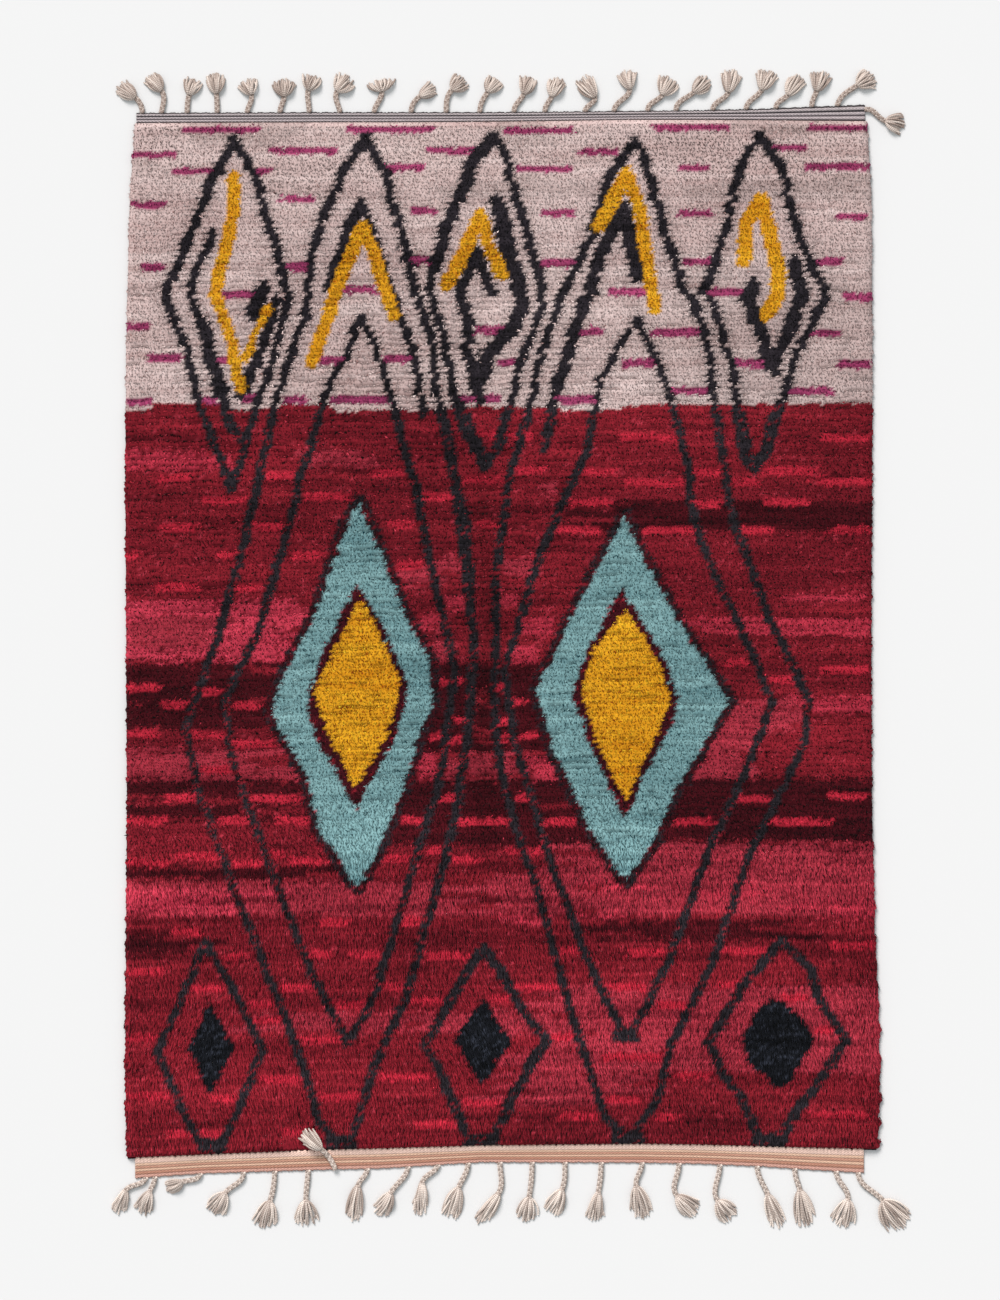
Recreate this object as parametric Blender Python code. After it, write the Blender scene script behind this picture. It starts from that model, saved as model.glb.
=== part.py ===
"""A Boujad rug that lies flat on the floor, pile upwards, with its pink end towards +Y.

The rug is a thick knotted field between two flatwoven end bands. Each band ends in a row of braided warp cords,
and every cord ends in a loose tuft. The origin is on the underside, in the middle of the field.
"""

import math
import random

import bmesh
import bpy
import numpy as np

# Driving sizes in metres
PILE_HEIGHT = 0.0175
PILE_RIM_HEIGHT = 0.0105
RIM_SLOPE = 0.012
ROW_RIDGE = 0.0012
LUMP_HEIGHT = 0.0016
LUMP_LENGTH = 0.16
FIELD_WIDTH = 1.79
FIELD_LENGTH = 2.47
FIELD_ROWS = 62
FIELD_COLUMNS = 20
RIM_LOCK_REACH = 0.0075
BAND_THICKNESS = 0.0034
RIB_HEIGHT = 0.0014
GAP = 0.0003
ROOT_GAP = 0.0006
CORD_WIDTH = 0.0125
CORD_HEIGHT = 0.0095
HEAD_WIDTH = 0.019
HEAD_HEIGHT = 0.0125
HEAD_LENGTH = 0.007
LOCKS_IN_TUFT = 4
LOCK_FULLNESS = 0.86
# Halfway along a lock and at its tip: the share of its length, how far the tuft has opened, and the lock's height
LOCK_SECTIONS = ((0.5, 0.76, 0.0105), (1.0, 1.0, 0.0065))
CENTRE_FOLD_X = -0.040
CENTRE_FOLD_DEPTH = 0.0025
CENTRE_FOLD_WIDTH = 0.05
MM = 0.001

# The field's long sides, from the lower end to the upper end
SIDE_COLUMNS = ("along", "left", "right")
SIDES = (
    (-1.215, -0.899, 0.899),
    (-1.080, -0.903, 0.905),
    (-0.900, -0.903, 0.904),
    (-0.700, -0.902, 0.894),
    (-0.400, -0.900, 0.888),
    (0.000, -0.902, 0.886),
    (0.400, -0.904, 0.888),
    (0.700, -0.902, 0.889),
    (1.080, -0.893, 0.886),
    (1.260, -0.880, 0.876),
)

# The seams between field and bands, and the bands' free edges, from left to right
END_COLUMNS = ("across", "foot_edge", "foot_seam", "head_seam", "head_edge")
ENDS = (
    (-0.900, -1.280, -1.232, 1.255, 1.280),
    (-0.720, -1.267, -1.224, 1.256, 1.281),
    (-0.420, -1.258, -1.212, 1.257, 1.282),
    (-0.290, -1.255, -1.209, 1.257, 1.282),
    (-0.050, -1.240, -1.202, 1.258, 1.282),
    (0.330, -1.241, -1.198, 1.263, 1.285),
    (0.480, -1.244, -1.200, 1.263, 1.287),
    (0.620, -1.250, -1.204, 1.262, 1.290),
    (0.740, -1.258, -1.207, 1.261, 1.295),
    (0.900, -1.268, -1.211, 1.260, 1.301),
)
FOOT_BAND = {"ends": (-0.881, 0.869), "ribs": 5}
HEAD_BAND = {"ends": (-0.878, 0.872), "ribs": 4}

# Tassels in millimetres: where the cord leaves the band, how far the knot lies along and out from there, how far the
# tuft's tip lies along and out from the knot, how wide the tuft is there, and how far the cord bows sideways
TASSEL_COLUMNS = ("root", "knot_along", "knot_out", "tip_along", "tip_out", "splay", "bow")
HEAD_TASSELS = (
    (-864, -17, 36, -41, 31, 36, 0),
    (-818, 0, 53, -34, 36, 38, 4),
    (-756, 5, 43, 12, 41, 40, 0),
    (-684, -2, 46, -5, 50, 40, 0),
    (-612, 10, 43, -14, 36, 44, 3),
    (-533, 10, 38, -2, 43, 56, 0),
    (-463, -2, 53, 12, 38, 46, 0),
    (-389, -7, 50, 29, 36, 50, -4),
    (-307, 19, 50, -5, 30, 66, 3),
    (-218, 22, 38, 36, 24, 32, 0),
    (-134, 14, 53, 31, 26, 50, 0),
    (-53, 19, 48, 22, 33, 40, 0),
    (29, 24, 43, 14, 43, 38, 0),
    (103, 17, 36, 17, 46, 40, 0),
    (199, 24, 34, -34, 48, 44, 6),
    (269, 38, 53, -10, 45, 40, 3),
    (350, 36, 38, 22, 43, 54, 0),
    (418, 43, 43, 34, 36, 38, 0),
    (506, 38, 42, 10, 55, 44, 3),
    (586, 38, 46, 17, 48, 50, 3),
    (658, 29, 31, 29, 46, 40, 0),
    (744, 12, 38, 14, 48, 46, 0),
    (805, 48, 48, 38, 26, 52, 8),
)
FOOT_TASSELS = (
    (-856, -48, 30, -24, 55, 32, 6),
    (-834, -12, 34, -22, 54, 42, 0),
    (-725, -43, 19, -41, 18, 30, 4),
    (-622, -43, 49, -31, 50, 48, -4),
    (-546, -11, 71, -19, 64, 58, 0),
    (-466, -5, 71, 2, 62, 54, 0),
    None,
    (-324, -22, 40, -14, 84, 38, 0),
    (-226, -41, 61, -29, 55, 38, 4),
    (-154, -38, 42, -7, 77, 30, 8),
    (-82, -22, 58, -24, 74, 46, 0),
    (-5, -3, 74, -48, 72, 34, 0),
    (72, -7, 83, -10, 58, 48, 0),
    (151, -7, 65, -26, 60, 44, 0),
    (238, -7, 72, -12, 67, 40, 0),
    (336, -14, 55, 19, 77, 48, 0),
    (425, -5, 77, 46, 43, 44, 0),
    (523, -5, 86, 34, 43, 50, 0),
    (612, 26, 67, 29, 79, 38, -3),
    (703, 12, 50, 17, 89, 44, 0),
    (802, 29, 67, -17, 65, 56, -3),
    (855, 60, 66, 50, 64, 74, -5),
)
# The cord at the upper right corner leaves the band's end sideways: its knot lies this far from its root, and its tip
# this far from the knot, along X and Y
CORNER_CORD = {"root_along": 1.288, "knot": (0.049, -0.028), "tip": (0.046, -0.008), "splay": 0.050}
# One lower cord is folded up over its band and lies on the pile, which it presses down
FOLDED_CORD = {"root": -0.400, "knot": (-0.034, 0.050), "tip": (-0.046, 0.040), "splay": 0.036}
PRESSED = {"centre": (-0.466, -1.172), "reach": (0.075, 0.055), "depth": 0.0065}


def across(x, column):
    """Reads one of the end curves at x."""
    rows = np.array(ENDS)
    return float(np.interp(x, rows[:, 0], rows[:, END_COLUMNS.index(column)]))


def side(y, column):
    """Reads one of the long sides at y."""
    rows = np.array(SIDES)
    return float(np.interp(y, rows[:, 0], rows[:, SIDE_COLUMNS.index(column)]))


def linear(value):
    """Turns one sRGB channel, 0 to 255, into Blender's linear colour."""
    value /= 255
    return value / 12.92 if value <= 0.04045 else ((value + 0.055) / 1.055) ** 2.4


def wool(name, colour, roughness):
    """A Principled wool material."""
    material = bpy.data.materials.new(name)
    material.use_nodes = True
    shader = material.node_tree.nodes["Principled BSDF"]
    shader.inputs["Base Color"].default_value = (*[linear(c) for c in colour], 1)
    shader.inputs["Roughness"].default_value = roughness
    shader.inputs["Metallic"].default_value = 0.0
    return material


def finished(name, bm, material):
    """Turns a closed mesh into the object of one node."""
    bmesh.ops.recalc_face_normals(bm, faces=bm.faces)
    mesh = bpy.data.meshes.new(name)
    bm.to_mesh(mesh)
    bm.free()
    mesh.materials.append(material)
    piece = bpy.data.objects.new(name, mesh)
    bpy.context.collection.objects.link(piece)
    return piece


def lump(x, y):
    """Slow swells in the pile, between about -1 and 1, longer across the rug than along it."""
    first = math.sin(2 * math.pi * x / (2.3 * LUMP_LENGTH) + 1.7 * math.sin(5.1 * y))
    second = math.cos(2 * math.pi * y / LUMP_LENGTH + 1.3 * math.sin(4.3 * x + 0.8))
    third = math.sin(2 * math.pi * (x + 0.6 * y) / (1.3 * LUMP_LENGTH) + 2.1)
    return (first + second + third) / 3


def rim_shape(distance):
    """0 at the field's rim and 1 where the pile stands at its full height."""
    t = min(max(distance / RIM_SLOPE, 0), 1)
    return t * (2 - t)


def pressed(x, y):
    """How far the folded cord presses the pile down."""
    dx = (x - PRESSED["centre"][0]) / PRESSED["reach"][0]
    dy = (y - PRESSED["centre"][1]) / PRESSED["reach"][1]
    return PRESSED["depth"] * max(0.0, 1 - (dx * dx + dy * dy) ** 2)


def pile_top(x, y, row):
    """Height of the pile over a point of the field. Every second modelled row stands a little higher."""
    left, right = side(y, "left"), side(y, "right")
    foot, head = across(x, "foot_seam"), across(x, "head_seam")
    inside = rim_shape(min(x - left, right - x, y - foot, head - y))
    fold = CENTRE_FOLD_DEPTH * math.exp(-(((x - CENTRE_FOLD_X) / CENTRE_FOLD_WIDTH) ** 2))
    full = PILE_HEIGHT + LUMP_HEIGHT * lump(x, y) + ROW_RIDGE * (-1) ** row - fold - pressed(x, y)
    return PILE_RIM_HEIGHT + (full - PILE_RIM_HEIGHT) * inside


def steps_with_rim(count, length):
    """Even steps from 0 to 1 with one more step close to each end, where the rim slopes."""
    near = RIM_SLOPE / length
    even = np.linspace(0, 1, count + 1)[1:-1]
    return np.concatenate(([0, near], even, [1 - near, 1]))


def field_points():
    """The plan of the field's grid, as rows of (x, y) from the lower end to the upper end."""
    us = steps_with_rim(FIELD_COLUMNS, FIELD_WIDTH)
    vs = steps_with_rim(FIELD_ROWS, FIELD_LENGTH)
    plan = []
    for v in vs:
        line = []
        for u in us:
            x_guess = (u - 0.5) * FIELD_WIDTH
            y = (1 - v) * across(x_guess, "foot_seam") + v * across(x_guess, "head_seam")
            left, right = side(y, "left"), side(y, "right")
            line.append((left + u * (right - left), y))
        plan.append(line)
    return plan


def seam(plan_row):
    """The seam that a band follows: the field's own end row."""
    return np.array(plan_row)


def pile_field(plan, material):
    """The knotted field: a lumpy slab on a flat underside, with wool locks along its two long sides."""
    bm = bmesh.new()
    top = []
    for row, line in enumerate(plan):
        top.append([bm.verts.new((x, y, pile_top(x, y, row))) for x, y in line])
    rows, columns = len(plan), len(plan[0])
    for j in range(rows - 1):
        for i in range(columns - 1):
            bm.faces.new((top[j][i], top[j][i + 1], top[j + 1][i + 1], top[j + 1][i]))
    under = {}
    for j in range(rows):
        for i in range(columns):
            if i in (0, columns - 1) or j in (0, rows - 1):
                x, y = plan[j][i]
                under[j, i] = bm.verts.new((x, y, 0))
    last_row, last_column = rows - 1, columns - 1
    for i in range(last_column):
        bm.faces.new((top[0][i], under[0, i], under[0, i + 1], top[0][i + 1]))
        bm.faces.new((top[last_row][i + 1], under[last_row, i + 1], under[last_row, i], top[last_row][i]))
    for j in range(last_row):
        for i in (0, last_column):
            wall = (top[j][i], top[j + 1][i], under[j + 1, i], under[j, i])
            if j % 2 and 0 < j < last_row - 1:
                rim_lock(bm, wall, -1 if i == 0 else 1, j)
            else:
                bm.faces.new(wall)
    for j in range(last_row):
        ring = [under[j, last_column], under[j + 1, last_column]]
        if j + 1 == last_row:
            ring += [under[j + 1, i] for i in range(last_column - 1, 0, -1)]
        ring += [under[j + 1, 0], under[j, 0]]
        if j == 0:
            ring += [under[j, i] for i in range(1, last_column)]
        bm.faces.new(ring)
    return finished("pile_field", bm, material)


def rim_lock(bm, wall, direction, row):
    """A four-sided lock of wool that leans out of the side wall, a little below its middle."""
    chance = random.Random(7919 * row + direction)
    reach = RIM_LOCK_REACH * chance.uniform(0.45, 1.0)
    along = chance.uniform(0.3, 0.7)
    x = sum(v.co.x for v in wall) / 4 + direction * reach
    y = wall[0].co.y * (1 - along) + wall[1].co.y * along
    tip = bm.verts.new((x, y, 0.35 * PILE_RIM_HEIGHT))
    for first, second in zip(wall, wall[1:] + wall[:1]):
        bm.faces.new((first, second, tip))


def band(name, seam_row, edge_column, outline, material):
    """A flatwoven end band with raised weft cords, from its seam with the field to its free edge."""
    outward = -1 if edge_column == "foot_edge" else 1
    left, right = outline["ends"]
    inner_xs = [x for x in seam_row[:, 0] if left + 0.01 < x < right - 0.01]
    stations = [left, *inner_xs, right]
    bm = bmesh.new()
    sections = []
    for x in stations:
        start = float(np.interp(x, seam_row[:, 0], seam_row[:, 1])) + outward * GAP
        end = across(x, edge_column)
        ring = [(start, 0)]
        crests = 2 * outline["ribs"]
        for k in range(crests + 1):
            rise = RIB_HEIGHT if k % 2 else 0
            ring.append((start + (end - start) * k / crests, BAND_THICKNESS + rise))
        ring.append((end, 0))
        sections.append([bm.verts.new((x, y, z)) for y, z in ring])
    for first, second in zip(sections, sections[1:]):
        for k in range(len(first)):
            after = (k + 1) % len(first)
            bm.faces.new((first[k], first[after], second[after], second[k]))
    bm.faces.new(sections[0])
    bm.faces.new(sections[-1])
    return finished(name, bm, material)


def join_rings(bm, first, second):
    """Bridges two rings of points that start at the same corner and may differ in number."""
    a = b = 0
    while a < len(first) or b < len(second):
        step_a = (a + 1) / len(first)
        step_b = (b + 1) / len(second)
        here_a, here_b = first[a % len(first)], second[b % len(second)]
        if b == len(second) or (a < len(first) and step_a <= step_b):
            bm.faces.new((here_a, first[(a + 1) % len(first)], here_b))
            a += 1
        else:
            bm.faces.new((here_a, second[(b + 1) % len(second)], here_b))
            b += 1


def cord_section(width, height):
    """Six sides of a cord that lies on the floor, as (sideways, up), from its lower left corner."""
    half = width / 2
    return (
        (-0.55 * half, 0),
        (0.55 * half, 0),
        (half, 0.5 * height),
        (0.55 * half, height),
        (-0.55 * half, height),
        (-half, 0.5 * height),
    )


def tuft_section(width, height):
    """The flat end of a tuft's head, as (sideways, up): the underside from left to right, then the crown back."""
    columns = [k / LOCKS_IN_TUFT * 2 - 1 for k in range(LOCKS_IN_TUFT + 1)]
    under = [(c * width / 2, 0) for c in columns]
    crown = [(c * width / 2, height * (1 - 0.42 * c * c)) for c in reversed(columns)]
    return under + crown


def placed(bm, section, centre, base, heading):
    """Puts a section across a heading, which is an angle in the floor plane, standing on the height base."""
    side_x, side_y = math.sin(heading), -math.cos(heading)
    return [bm.verts.new((centre[0] + s * side_x, centre[1] + s * side_y, base + up)) for s, up in section]


def curve_point(points, t):
    """A point and a heading on the cubic curve that four plan points give."""
    weights = ((1 - t) ** 3, 3 * t * (1 - t) ** 2, 3 * t * t * (1 - t), t**3)
    slopes = (-3 * (1 - t) ** 2, 3 * (1 - t) * (1 - 3 * t), 3 * t * (2 - 3 * t), 3 * t * t)
    at = sum(w * p for w, p in zip(weights, points))
    way = sum(s * p for s, p in zip(slopes, points))
    return at, math.atan2(way[1], way[0])


def tassel(name, root, leaves, knot, tip, splay, bow, material, base=lambda x, y: 0.0):
    """One braided cord with its tuft: a root at the band, a knot, and four loose locks, all in one solid.

    root, knot and tip are plan points, leaves is the angle at which the cord leaves the band, and base gives the
    height that each section lies on.
    """
    chance = random.Random(name)
    root, knot, tip = np.array(root), np.array(knot), np.array(tip)
    run = float(np.linalg.norm(knot - root))
    start = np.array((math.cos(leaves), math.sin(leaves)))
    tuft_way = (tip - knot) / np.linalg.norm(tip - knot)
    sideways = np.array((start[1], -start[0]))
    guides = (root, root + start * run * 0.4 + sideways * bow, knot - tuft_way * run * 0.35, knot)
    bm = bmesh.new()
    turns = min(max(round(run / 0.011), 3), 6)
    rings = []
    for k in range(turns + 1):
        at, heading = curve_point(guides, k / turns)
        plump = 1.06 if k % 2 else 0.92
        section = cord_section(CORD_WIDTH * plump, CORD_HEIGHT * plump)
        rings.append(placed(bm, section, at, base(*at), leaves if k == 0 else heading))
    for first, second in zip(rings, rings[1:]):
        join_rings(bm, first, second)
    bm.faces.new(rings[0])
    length = float(np.linalg.norm(tip - knot))
    heading = math.atan2(tuft_way[1], tuft_way[0])
    collar = knot + tuft_way * HEAD_LENGTH
    throat = placed(bm, tuft_section(HEAD_WIDTH, HEAD_HEIGHT), collar, base(*collar), heading)
    join_rings(bm, rings[-1], throat)
    across_way = np.array((math.sin(heading), -math.cos(heading)))
    for k in range(LOCKS_IN_TUFT):
        corners = (throat[k], throat[k + 1], throat[-2 - k], throat[-1 - k])
        place = (k + 0.5) / LOCKS_IN_TUFT * 2 - 1
        reach = (length - HEAD_LENGTH) * chance.uniform(0.9, 1.0) * (1 - 0.12 * place * place)
        turn = heading - place * splay / length * 0.5
        previous = corners
        for share, opened, height in LOCK_SECTIONS:
            at = collar + tuft_way * reach * share + across_way * place * splay / 2 * opened
            half = splay * opened / LOCKS_IN_TUFT * LOCK_FULLNESS / 2
            quad = ((-half, 0), (half, 0), (half * 0.8, height), (-half * 0.8, height))
            ring = placed(bm, quad, at, base(*at), turn)
            for a in range(4):
                after = (a + 1) % 4
                bm.faces.new((previous[a], previous[after], ring[after], ring[a]))
            previous = ring
        bm.faces.new(previous)
    return finished(name, bm, material)


def row_of_tassels(kind, rows, edge_column, material):
    """The tassels of one band, numbered from left to right."""
    outward = -1 if edge_column == "foot_edge" else 1
    for number, row in enumerate(rows, 1):
        if row is None:
            continue
        size = dict(zip(TASSEL_COLUMNS, row))
        root_x = size["root"] * MM
        root = np.array((root_x, across(root_x, edge_column) + outward * ROOT_GAP))
        knot = root + np.array((size["knot_along"], outward * size["knot_out"])) * MM
        tip = knot + np.array((size["tip_along"], outward * size["tip_out"])) * MM
        name = f"tassel_{kind}_{number:02d}"
        tassel(name, root, outward * math.pi / 2, knot, tip, size["splay"] * MM, size["bow"] * MM, material)


def corner_cord(number, material):
    """The cord at the upper right corner, which leaves the band's end and lies beside the rug."""
    root = np.array((HEAD_BAND["ends"][1] + GAP, CORNER_CORD["root_along"]))
    knot = root + np.array(CORNER_CORD["knot"])
    tip = knot + np.array(CORNER_CORD["tip"])
    tassel(f"tassel_top_{number:02d}", root, 0.0, knot, tip, CORNER_CORD["splay"], -0.006, material)


def folded_cord(number, material):
    """The lower cord that is folded up over its band, with its tuft on the pile."""
    root = np.array((FOLDED_CORD["root"], across(FOLDED_CORD["root"], "foot_edge") + 0.001))
    knot = root + np.array(FOLDED_CORD["knot"])
    tip = knot + np.array(FOLDED_CORD["tip"])
    band_top = BAND_THICKNESS + RIB_HEIGHT + GAP

    def base(x, y):
        climb = (y - across(x, "foot_seam") + 0.012) / 0.024
        t = min(max(climb, 0), 1)
        over_pile = PILE_HEIGHT + LUMP_HEIGHT + ROW_RIDGE - PRESSED["depth"] + 4 * GAP
        return band_top + (over_pile - band_top) * t * (2 - t)

    name = f"tassel_bottom_{number:02d}"
    tassel(name, root, math.pi * 0.62, knot, tip, FOLDED_CORD["splay"], 0.0, material, base)


def main():
    for item in list(bpy.data.objects):
        bpy.data.objects.remove(item, do_unlink=True)
    crimson = wool("pile_wool", (150, 34, 48), 0.95)
    grey = wool("end_weave_grey", (196, 186, 190), 0.92)
    peach = wool("end_weave_peach", (218, 172, 148), 0.92)
    warp = wool("warp_yarn", (212, 192, 176), 0.9)
    plan = field_points()
    pile_field(plan, crimson)
    band("end_band_bottom", seam(plan[0]), "foot_edge", FOOT_BAND, peach)
    band("end_band_top", seam(plan[-1]), "head_edge", HEAD_BAND, grey)
    row_of_tassels("top", HEAD_TASSELS, "head_edge", warp)
    corner_cord(len(HEAD_TASSELS) + 1, warp)
    row_of_tassels("bottom", FOOT_TASSELS, "foot_edge", warp)
    folded_cord(FOOT_TASSELS.index(None) + 1, warp)


main()
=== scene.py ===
"""The looks of a Boujad rug that lies flat: wool pile on a woven ground, two flatwoven end bands and braided tassels.

The pattern is laid out on a plan in steps of 2.4 mm, which is one pixel of the photo. Its x runs to the right and its
y down the rug from the pink end. Everything else is in metres, in the frame of the solids.
"""

import math
import random

import bpy
import numpy as np
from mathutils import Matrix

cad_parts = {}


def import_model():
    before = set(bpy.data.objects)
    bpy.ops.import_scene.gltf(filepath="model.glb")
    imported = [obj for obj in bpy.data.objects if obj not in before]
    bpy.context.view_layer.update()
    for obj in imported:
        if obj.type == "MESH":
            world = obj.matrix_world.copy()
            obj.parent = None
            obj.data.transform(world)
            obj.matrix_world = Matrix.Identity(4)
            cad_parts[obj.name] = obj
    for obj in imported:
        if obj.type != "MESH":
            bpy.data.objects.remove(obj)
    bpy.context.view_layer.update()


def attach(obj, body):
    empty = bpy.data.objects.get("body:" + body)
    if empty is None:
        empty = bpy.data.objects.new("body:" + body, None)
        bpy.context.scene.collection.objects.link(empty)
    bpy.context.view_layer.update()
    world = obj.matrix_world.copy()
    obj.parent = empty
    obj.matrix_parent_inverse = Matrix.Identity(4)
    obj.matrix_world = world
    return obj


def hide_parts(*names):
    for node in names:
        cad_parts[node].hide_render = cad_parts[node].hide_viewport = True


# Sizes that the solids have too
PILE_HEIGHT = 0.0175
PILE_RIM_HEIGHT = 0.0105
FIELD_WIDTH = 1.79
LUMP_LENGTH = 0.16
BAND_THICKNESS = 0.0034
RIB_HEIGHT = 0.0014
GAP = 0.0003
ROOT_GAP = 0.0006
ROW_RIDGE = 0.0012
LUMP_HEIGHT = 0.0016
RIM_SLOPE = 0.012
MM = 0.001

# The field's long sides, from the lower end to the upper end
SIDE_COLUMNS = ("along", "left", "right")
SIDES = (
    (-1.215, -0.899, 0.899),
    (-1.080, -0.903, 0.905),
    (-0.900, -0.903, 0.904),
    (-0.700, -0.902, 0.894),
    (-0.400, -0.900, 0.888),
    (0.000, -0.902, 0.886),
    (0.400, -0.904, 0.888),
    (0.700, -0.902, 0.889),
    (1.080, -0.893, 0.886),
    (1.260, -0.880, 0.876),
)

# The seams between field and bands, and the bands' free edges, from left to right
END_COLUMNS = ("across", "foot_edge", "foot_seam", "head_seam", "head_edge")
ENDS = (
    (-0.900, -1.280, -1.232, 1.255, 1.280),
    (-0.720, -1.267, -1.224, 1.256, 1.281),
    (-0.420, -1.258, -1.212, 1.257, 1.282),
    (-0.290, -1.255, -1.209, 1.257, 1.282),
    (-0.050, -1.240, -1.202, 1.258, 1.282),
    (0.330, -1.241, -1.198, 1.263, 1.285),
    (0.480, -1.244, -1.200, 1.263, 1.287),
    (0.620, -1.250, -1.204, 1.262, 1.290),
    (0.740, -1.258, -1.207, 1.261, 1.295),
    (0.900, -1.268, -1.211, 1.260, 1.301),
)
FOOT_ENDS = (-0.881, 0.869)
HEAD_ENDS = (-0.878, 0.872)

# Tassels in millimetres: where the cord leaves the band, how far the knot lies along and out from there, how far the
# tuft's tip lies along and out from the knot, how wide the tuft is there, and how far the cord bows sideways. In the
# lower row, None keeps the place of the folded cord.
TASSEL_COLUMNS = ("root", "knot_along", "knot_out", "tip_along", "tip_out", "splay", "bow")
HEAD_TASSELS = (
    (-864, -17, 36, -41, 31, 36, 0),
    (-818, 0, 53, -34, 36, 38, 4),
    (-756, 5, 43, 12, 41, 40, 0),
    (-684, -2, 46, -5, 50, 40, 0),
    (-612, 10, 43, -14, 36, 44, 3),
    (-533, 10, 38, -2, 43, 56, 0),
    (-463, -2, 53, 12, 38, 46, 0),
    (-389, -7, 50, 29, 36, 50, -4),
    (-307, 19, 50, -5, 30, 66, 3),
    (-218, 22, 38, 36, 24, 32, 0),
    (-134, 14, 53, 31, 26, 50, 0),
    (-53, 19, 48, 22, 33, 40, 0),
    (29, 24, 43, 14, 43, 38, 0),
    (103, 17, 36, 17, 46, 40, 0),
    (199, 24, 34, -34, 48, 44, 6),
    (269, 38, 53, -10, 45, 40, 3),
    (350, 36, 38, 22, 43, 54, 0),
    (418, 43, 43, 34, 36, 38, 0),
    (506, 38, 42, 10, 55, 44, 3),
    (586, 38, 46, 17, 48, 50, 3),
    (658, 29, 31, 29, 46, 40, 0),
    (744, 12, 38, 14, 48, 46, 0),
    (805, 48, 48, 38, 26, 52, 8),
)
FOOT_TASSELS = (
    (-856, -48, 30, -24, 55, 32, 6),
    (-834, -12, 34, -22, 54, 42, 0),
    (-725, -43, 19, -41, 18, 30, 4),
    (-622, -43, 49, -31, 50, 48, -4),
    (-546, -11, 71, -19, 64, 58, 0),
    (-466, -5, 71, 2, 62, 54, 0),
    None,
    (-324, -22, 40, -14, 84, 38, 0),
    (-226, -41, 61, -29, 55, 38, 4),
    (-154, -38, 42, -7, 77, 30, 8),
    (-82, -22, 58, -24, 74, 46, 0),
    (-5, -3, 74, -48, 72, 34, 0),
    (72, -7, 83, -10, 58, 48, 0),
    (151, -7, 65, -26, 60, 44, 0),
    (238, -7, 72, -12, 67, 40, 0),
    (336, -14, 55, 19, 77, 48, 0),
    (425, -5, 77, 46, 43, 44, 0),
    (523, -5, 86, 34, 43, 50, 0),
    (612, 26, 67, 29, 79, 38, -3),
    (703, 12, 50, 17, 89, 44, 0),
    (802, 29, 67, -17, 65, 56, -3),
    (855, 60, 66, 50, 64, 74, -5),
)
CORNER_CORD = {"root_along": 1.288, "knot": (0.049, -0.028), "tip": (0.046, -0.008), "splay": 0.050}
FOLDED_CORD = {"root": -0.400, "knot": (-0.034, 0.050), "tip": (-0.046, 0.040), "splay": 0.036}
PRESSED = {"centre": (-0.466, -1.172), "reach": (0.075, 0.055), "depth": 0.0065}

# Sizes of the yarn work
PILE_ROWS = 176
STRANDS_ACROSS = 520
PILE_PIECES = 4
BODY_COLUMNS = 210
BODY_BELOW_TIPS = 0.0022
GROOVE_DEPTH = 0.0034
FOLD_DEPTH = 0.0022
ROW_WAVE = 0.0014
GROUND_TOP = 0.003
GROUND_COLUMNS = 90
STRAND_LENGTH = 0.0125
STRAND_RISE = 0.0034
STRAND_WIDTH = 0.0044
TURN_SCATTER = (0.06, 0.2, 0.22)
SIZE_SCATTER = 0.1
BAND_LANE = 70
LOOP_PITCH = 0.0145
LOOP_REACH = 0.0052
BRAID_WIDTH = 0.0042
BRAID_LIFT = 0.0016
BRAID_YARN = 0.0031
BRAID_PITCH = 0.0125
BRAID_STEP = 0.0021
BRAID_TONES = (0.2, 0.5, 0.75)
TUFT_YARNS = 24
TUFT_YARN = 0.0023
TUFT_PARTS = (0.0, 0.14, 0.32, 0.52, 0.72, 0.88, 1.0)
TUFT_STRAY = 0.004
BINDING_YARN = 0.0018
BINDING_REACH = 0.0066
BINDING_STEPS = 10
YARN_SIDES = 6
BAND_STATIONS = 420
BAND_RIB_PARTS = (0.0, 0.25, 0.5, 0.75, 1.0)
BAND_CORD_TWIST = 0.0085
LOOP_SHARE = 0.13
LOOP_LIFT = 0.0060
FRAY_SHARE = 0.8

# Each band's weft cords from the seam outwards: its share of the width, its colour as sRGB and its height
FOOT_STRIPES = (
    # The cords at the seam are paler than their wool, partly painted light against the shadow the pile casts on them.
    (5.0, (246, 210, 194), 0.0021),
    (2.6, (214, 178, 154), 0.0012),
    (3.0, (186, 140, 120), 0.0013),
    (2.6, (212, 174, 150), 0.0012),
    (3.2, (178, 128, 108), 0.0014),
    (3.6, (196, 150, 136), 0.0014),
)
HEAD_STRIPES = (
    (1.2, (58, 52, 54), 0.0007),
    (2.4, (178, 166, 168), 0.0013),
    (1.0, (80, 72, 76), 0.0006),
    (2.2, (174, 163, 165), 0.0013),
    (1.3, (48, 44, 47), 0.0008),
    (2.4, (176, 165, 166), 0.0013),
    (1.2, (62, 56, 58), 0.0008),
)

# The darkest and the palest warp yarn as sRGB
WARP_TONES = ((148, 128, 118), (244, 229, 218))

# The camera and the light
CAMERA_HEIGHT = 12.0
LEVEL_IN_FRAME = 0.012
SENSOR_WIDTH = 36
FLOOR_HALF = 30.0
FLOOR_LEVEL = -0.0004
FLOOR_COLOUR = (0.70, 0.70, 0.70, 1)
SKY_COLOUR = (0.95, 1.0, 1.02, 1)
SKY_STRENGTH = 0.66
LAMP = {"energy": 3.46, "color": (0.993, 0.945, 0.926), "angle": math.radians(26)}
LAMP_TURN = (math.radians(-46), math.radians(-26), 0)

# Where each kind of chance starts from
SEEDS = {"knots": 17, "open rows": 29, "yarns": 41, "dye": 43, "sides": 53, "strands": 5}

# The pattern's plan, in steps: its size, the middle of the rug, and the y where the pink end stops
STEP = 0.0024
PLAN_WIDTH = 1000
PLAN_HEIGHT = 1300
PLAN_MIDDLE = (502, 646)
PINK_END = 410

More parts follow.
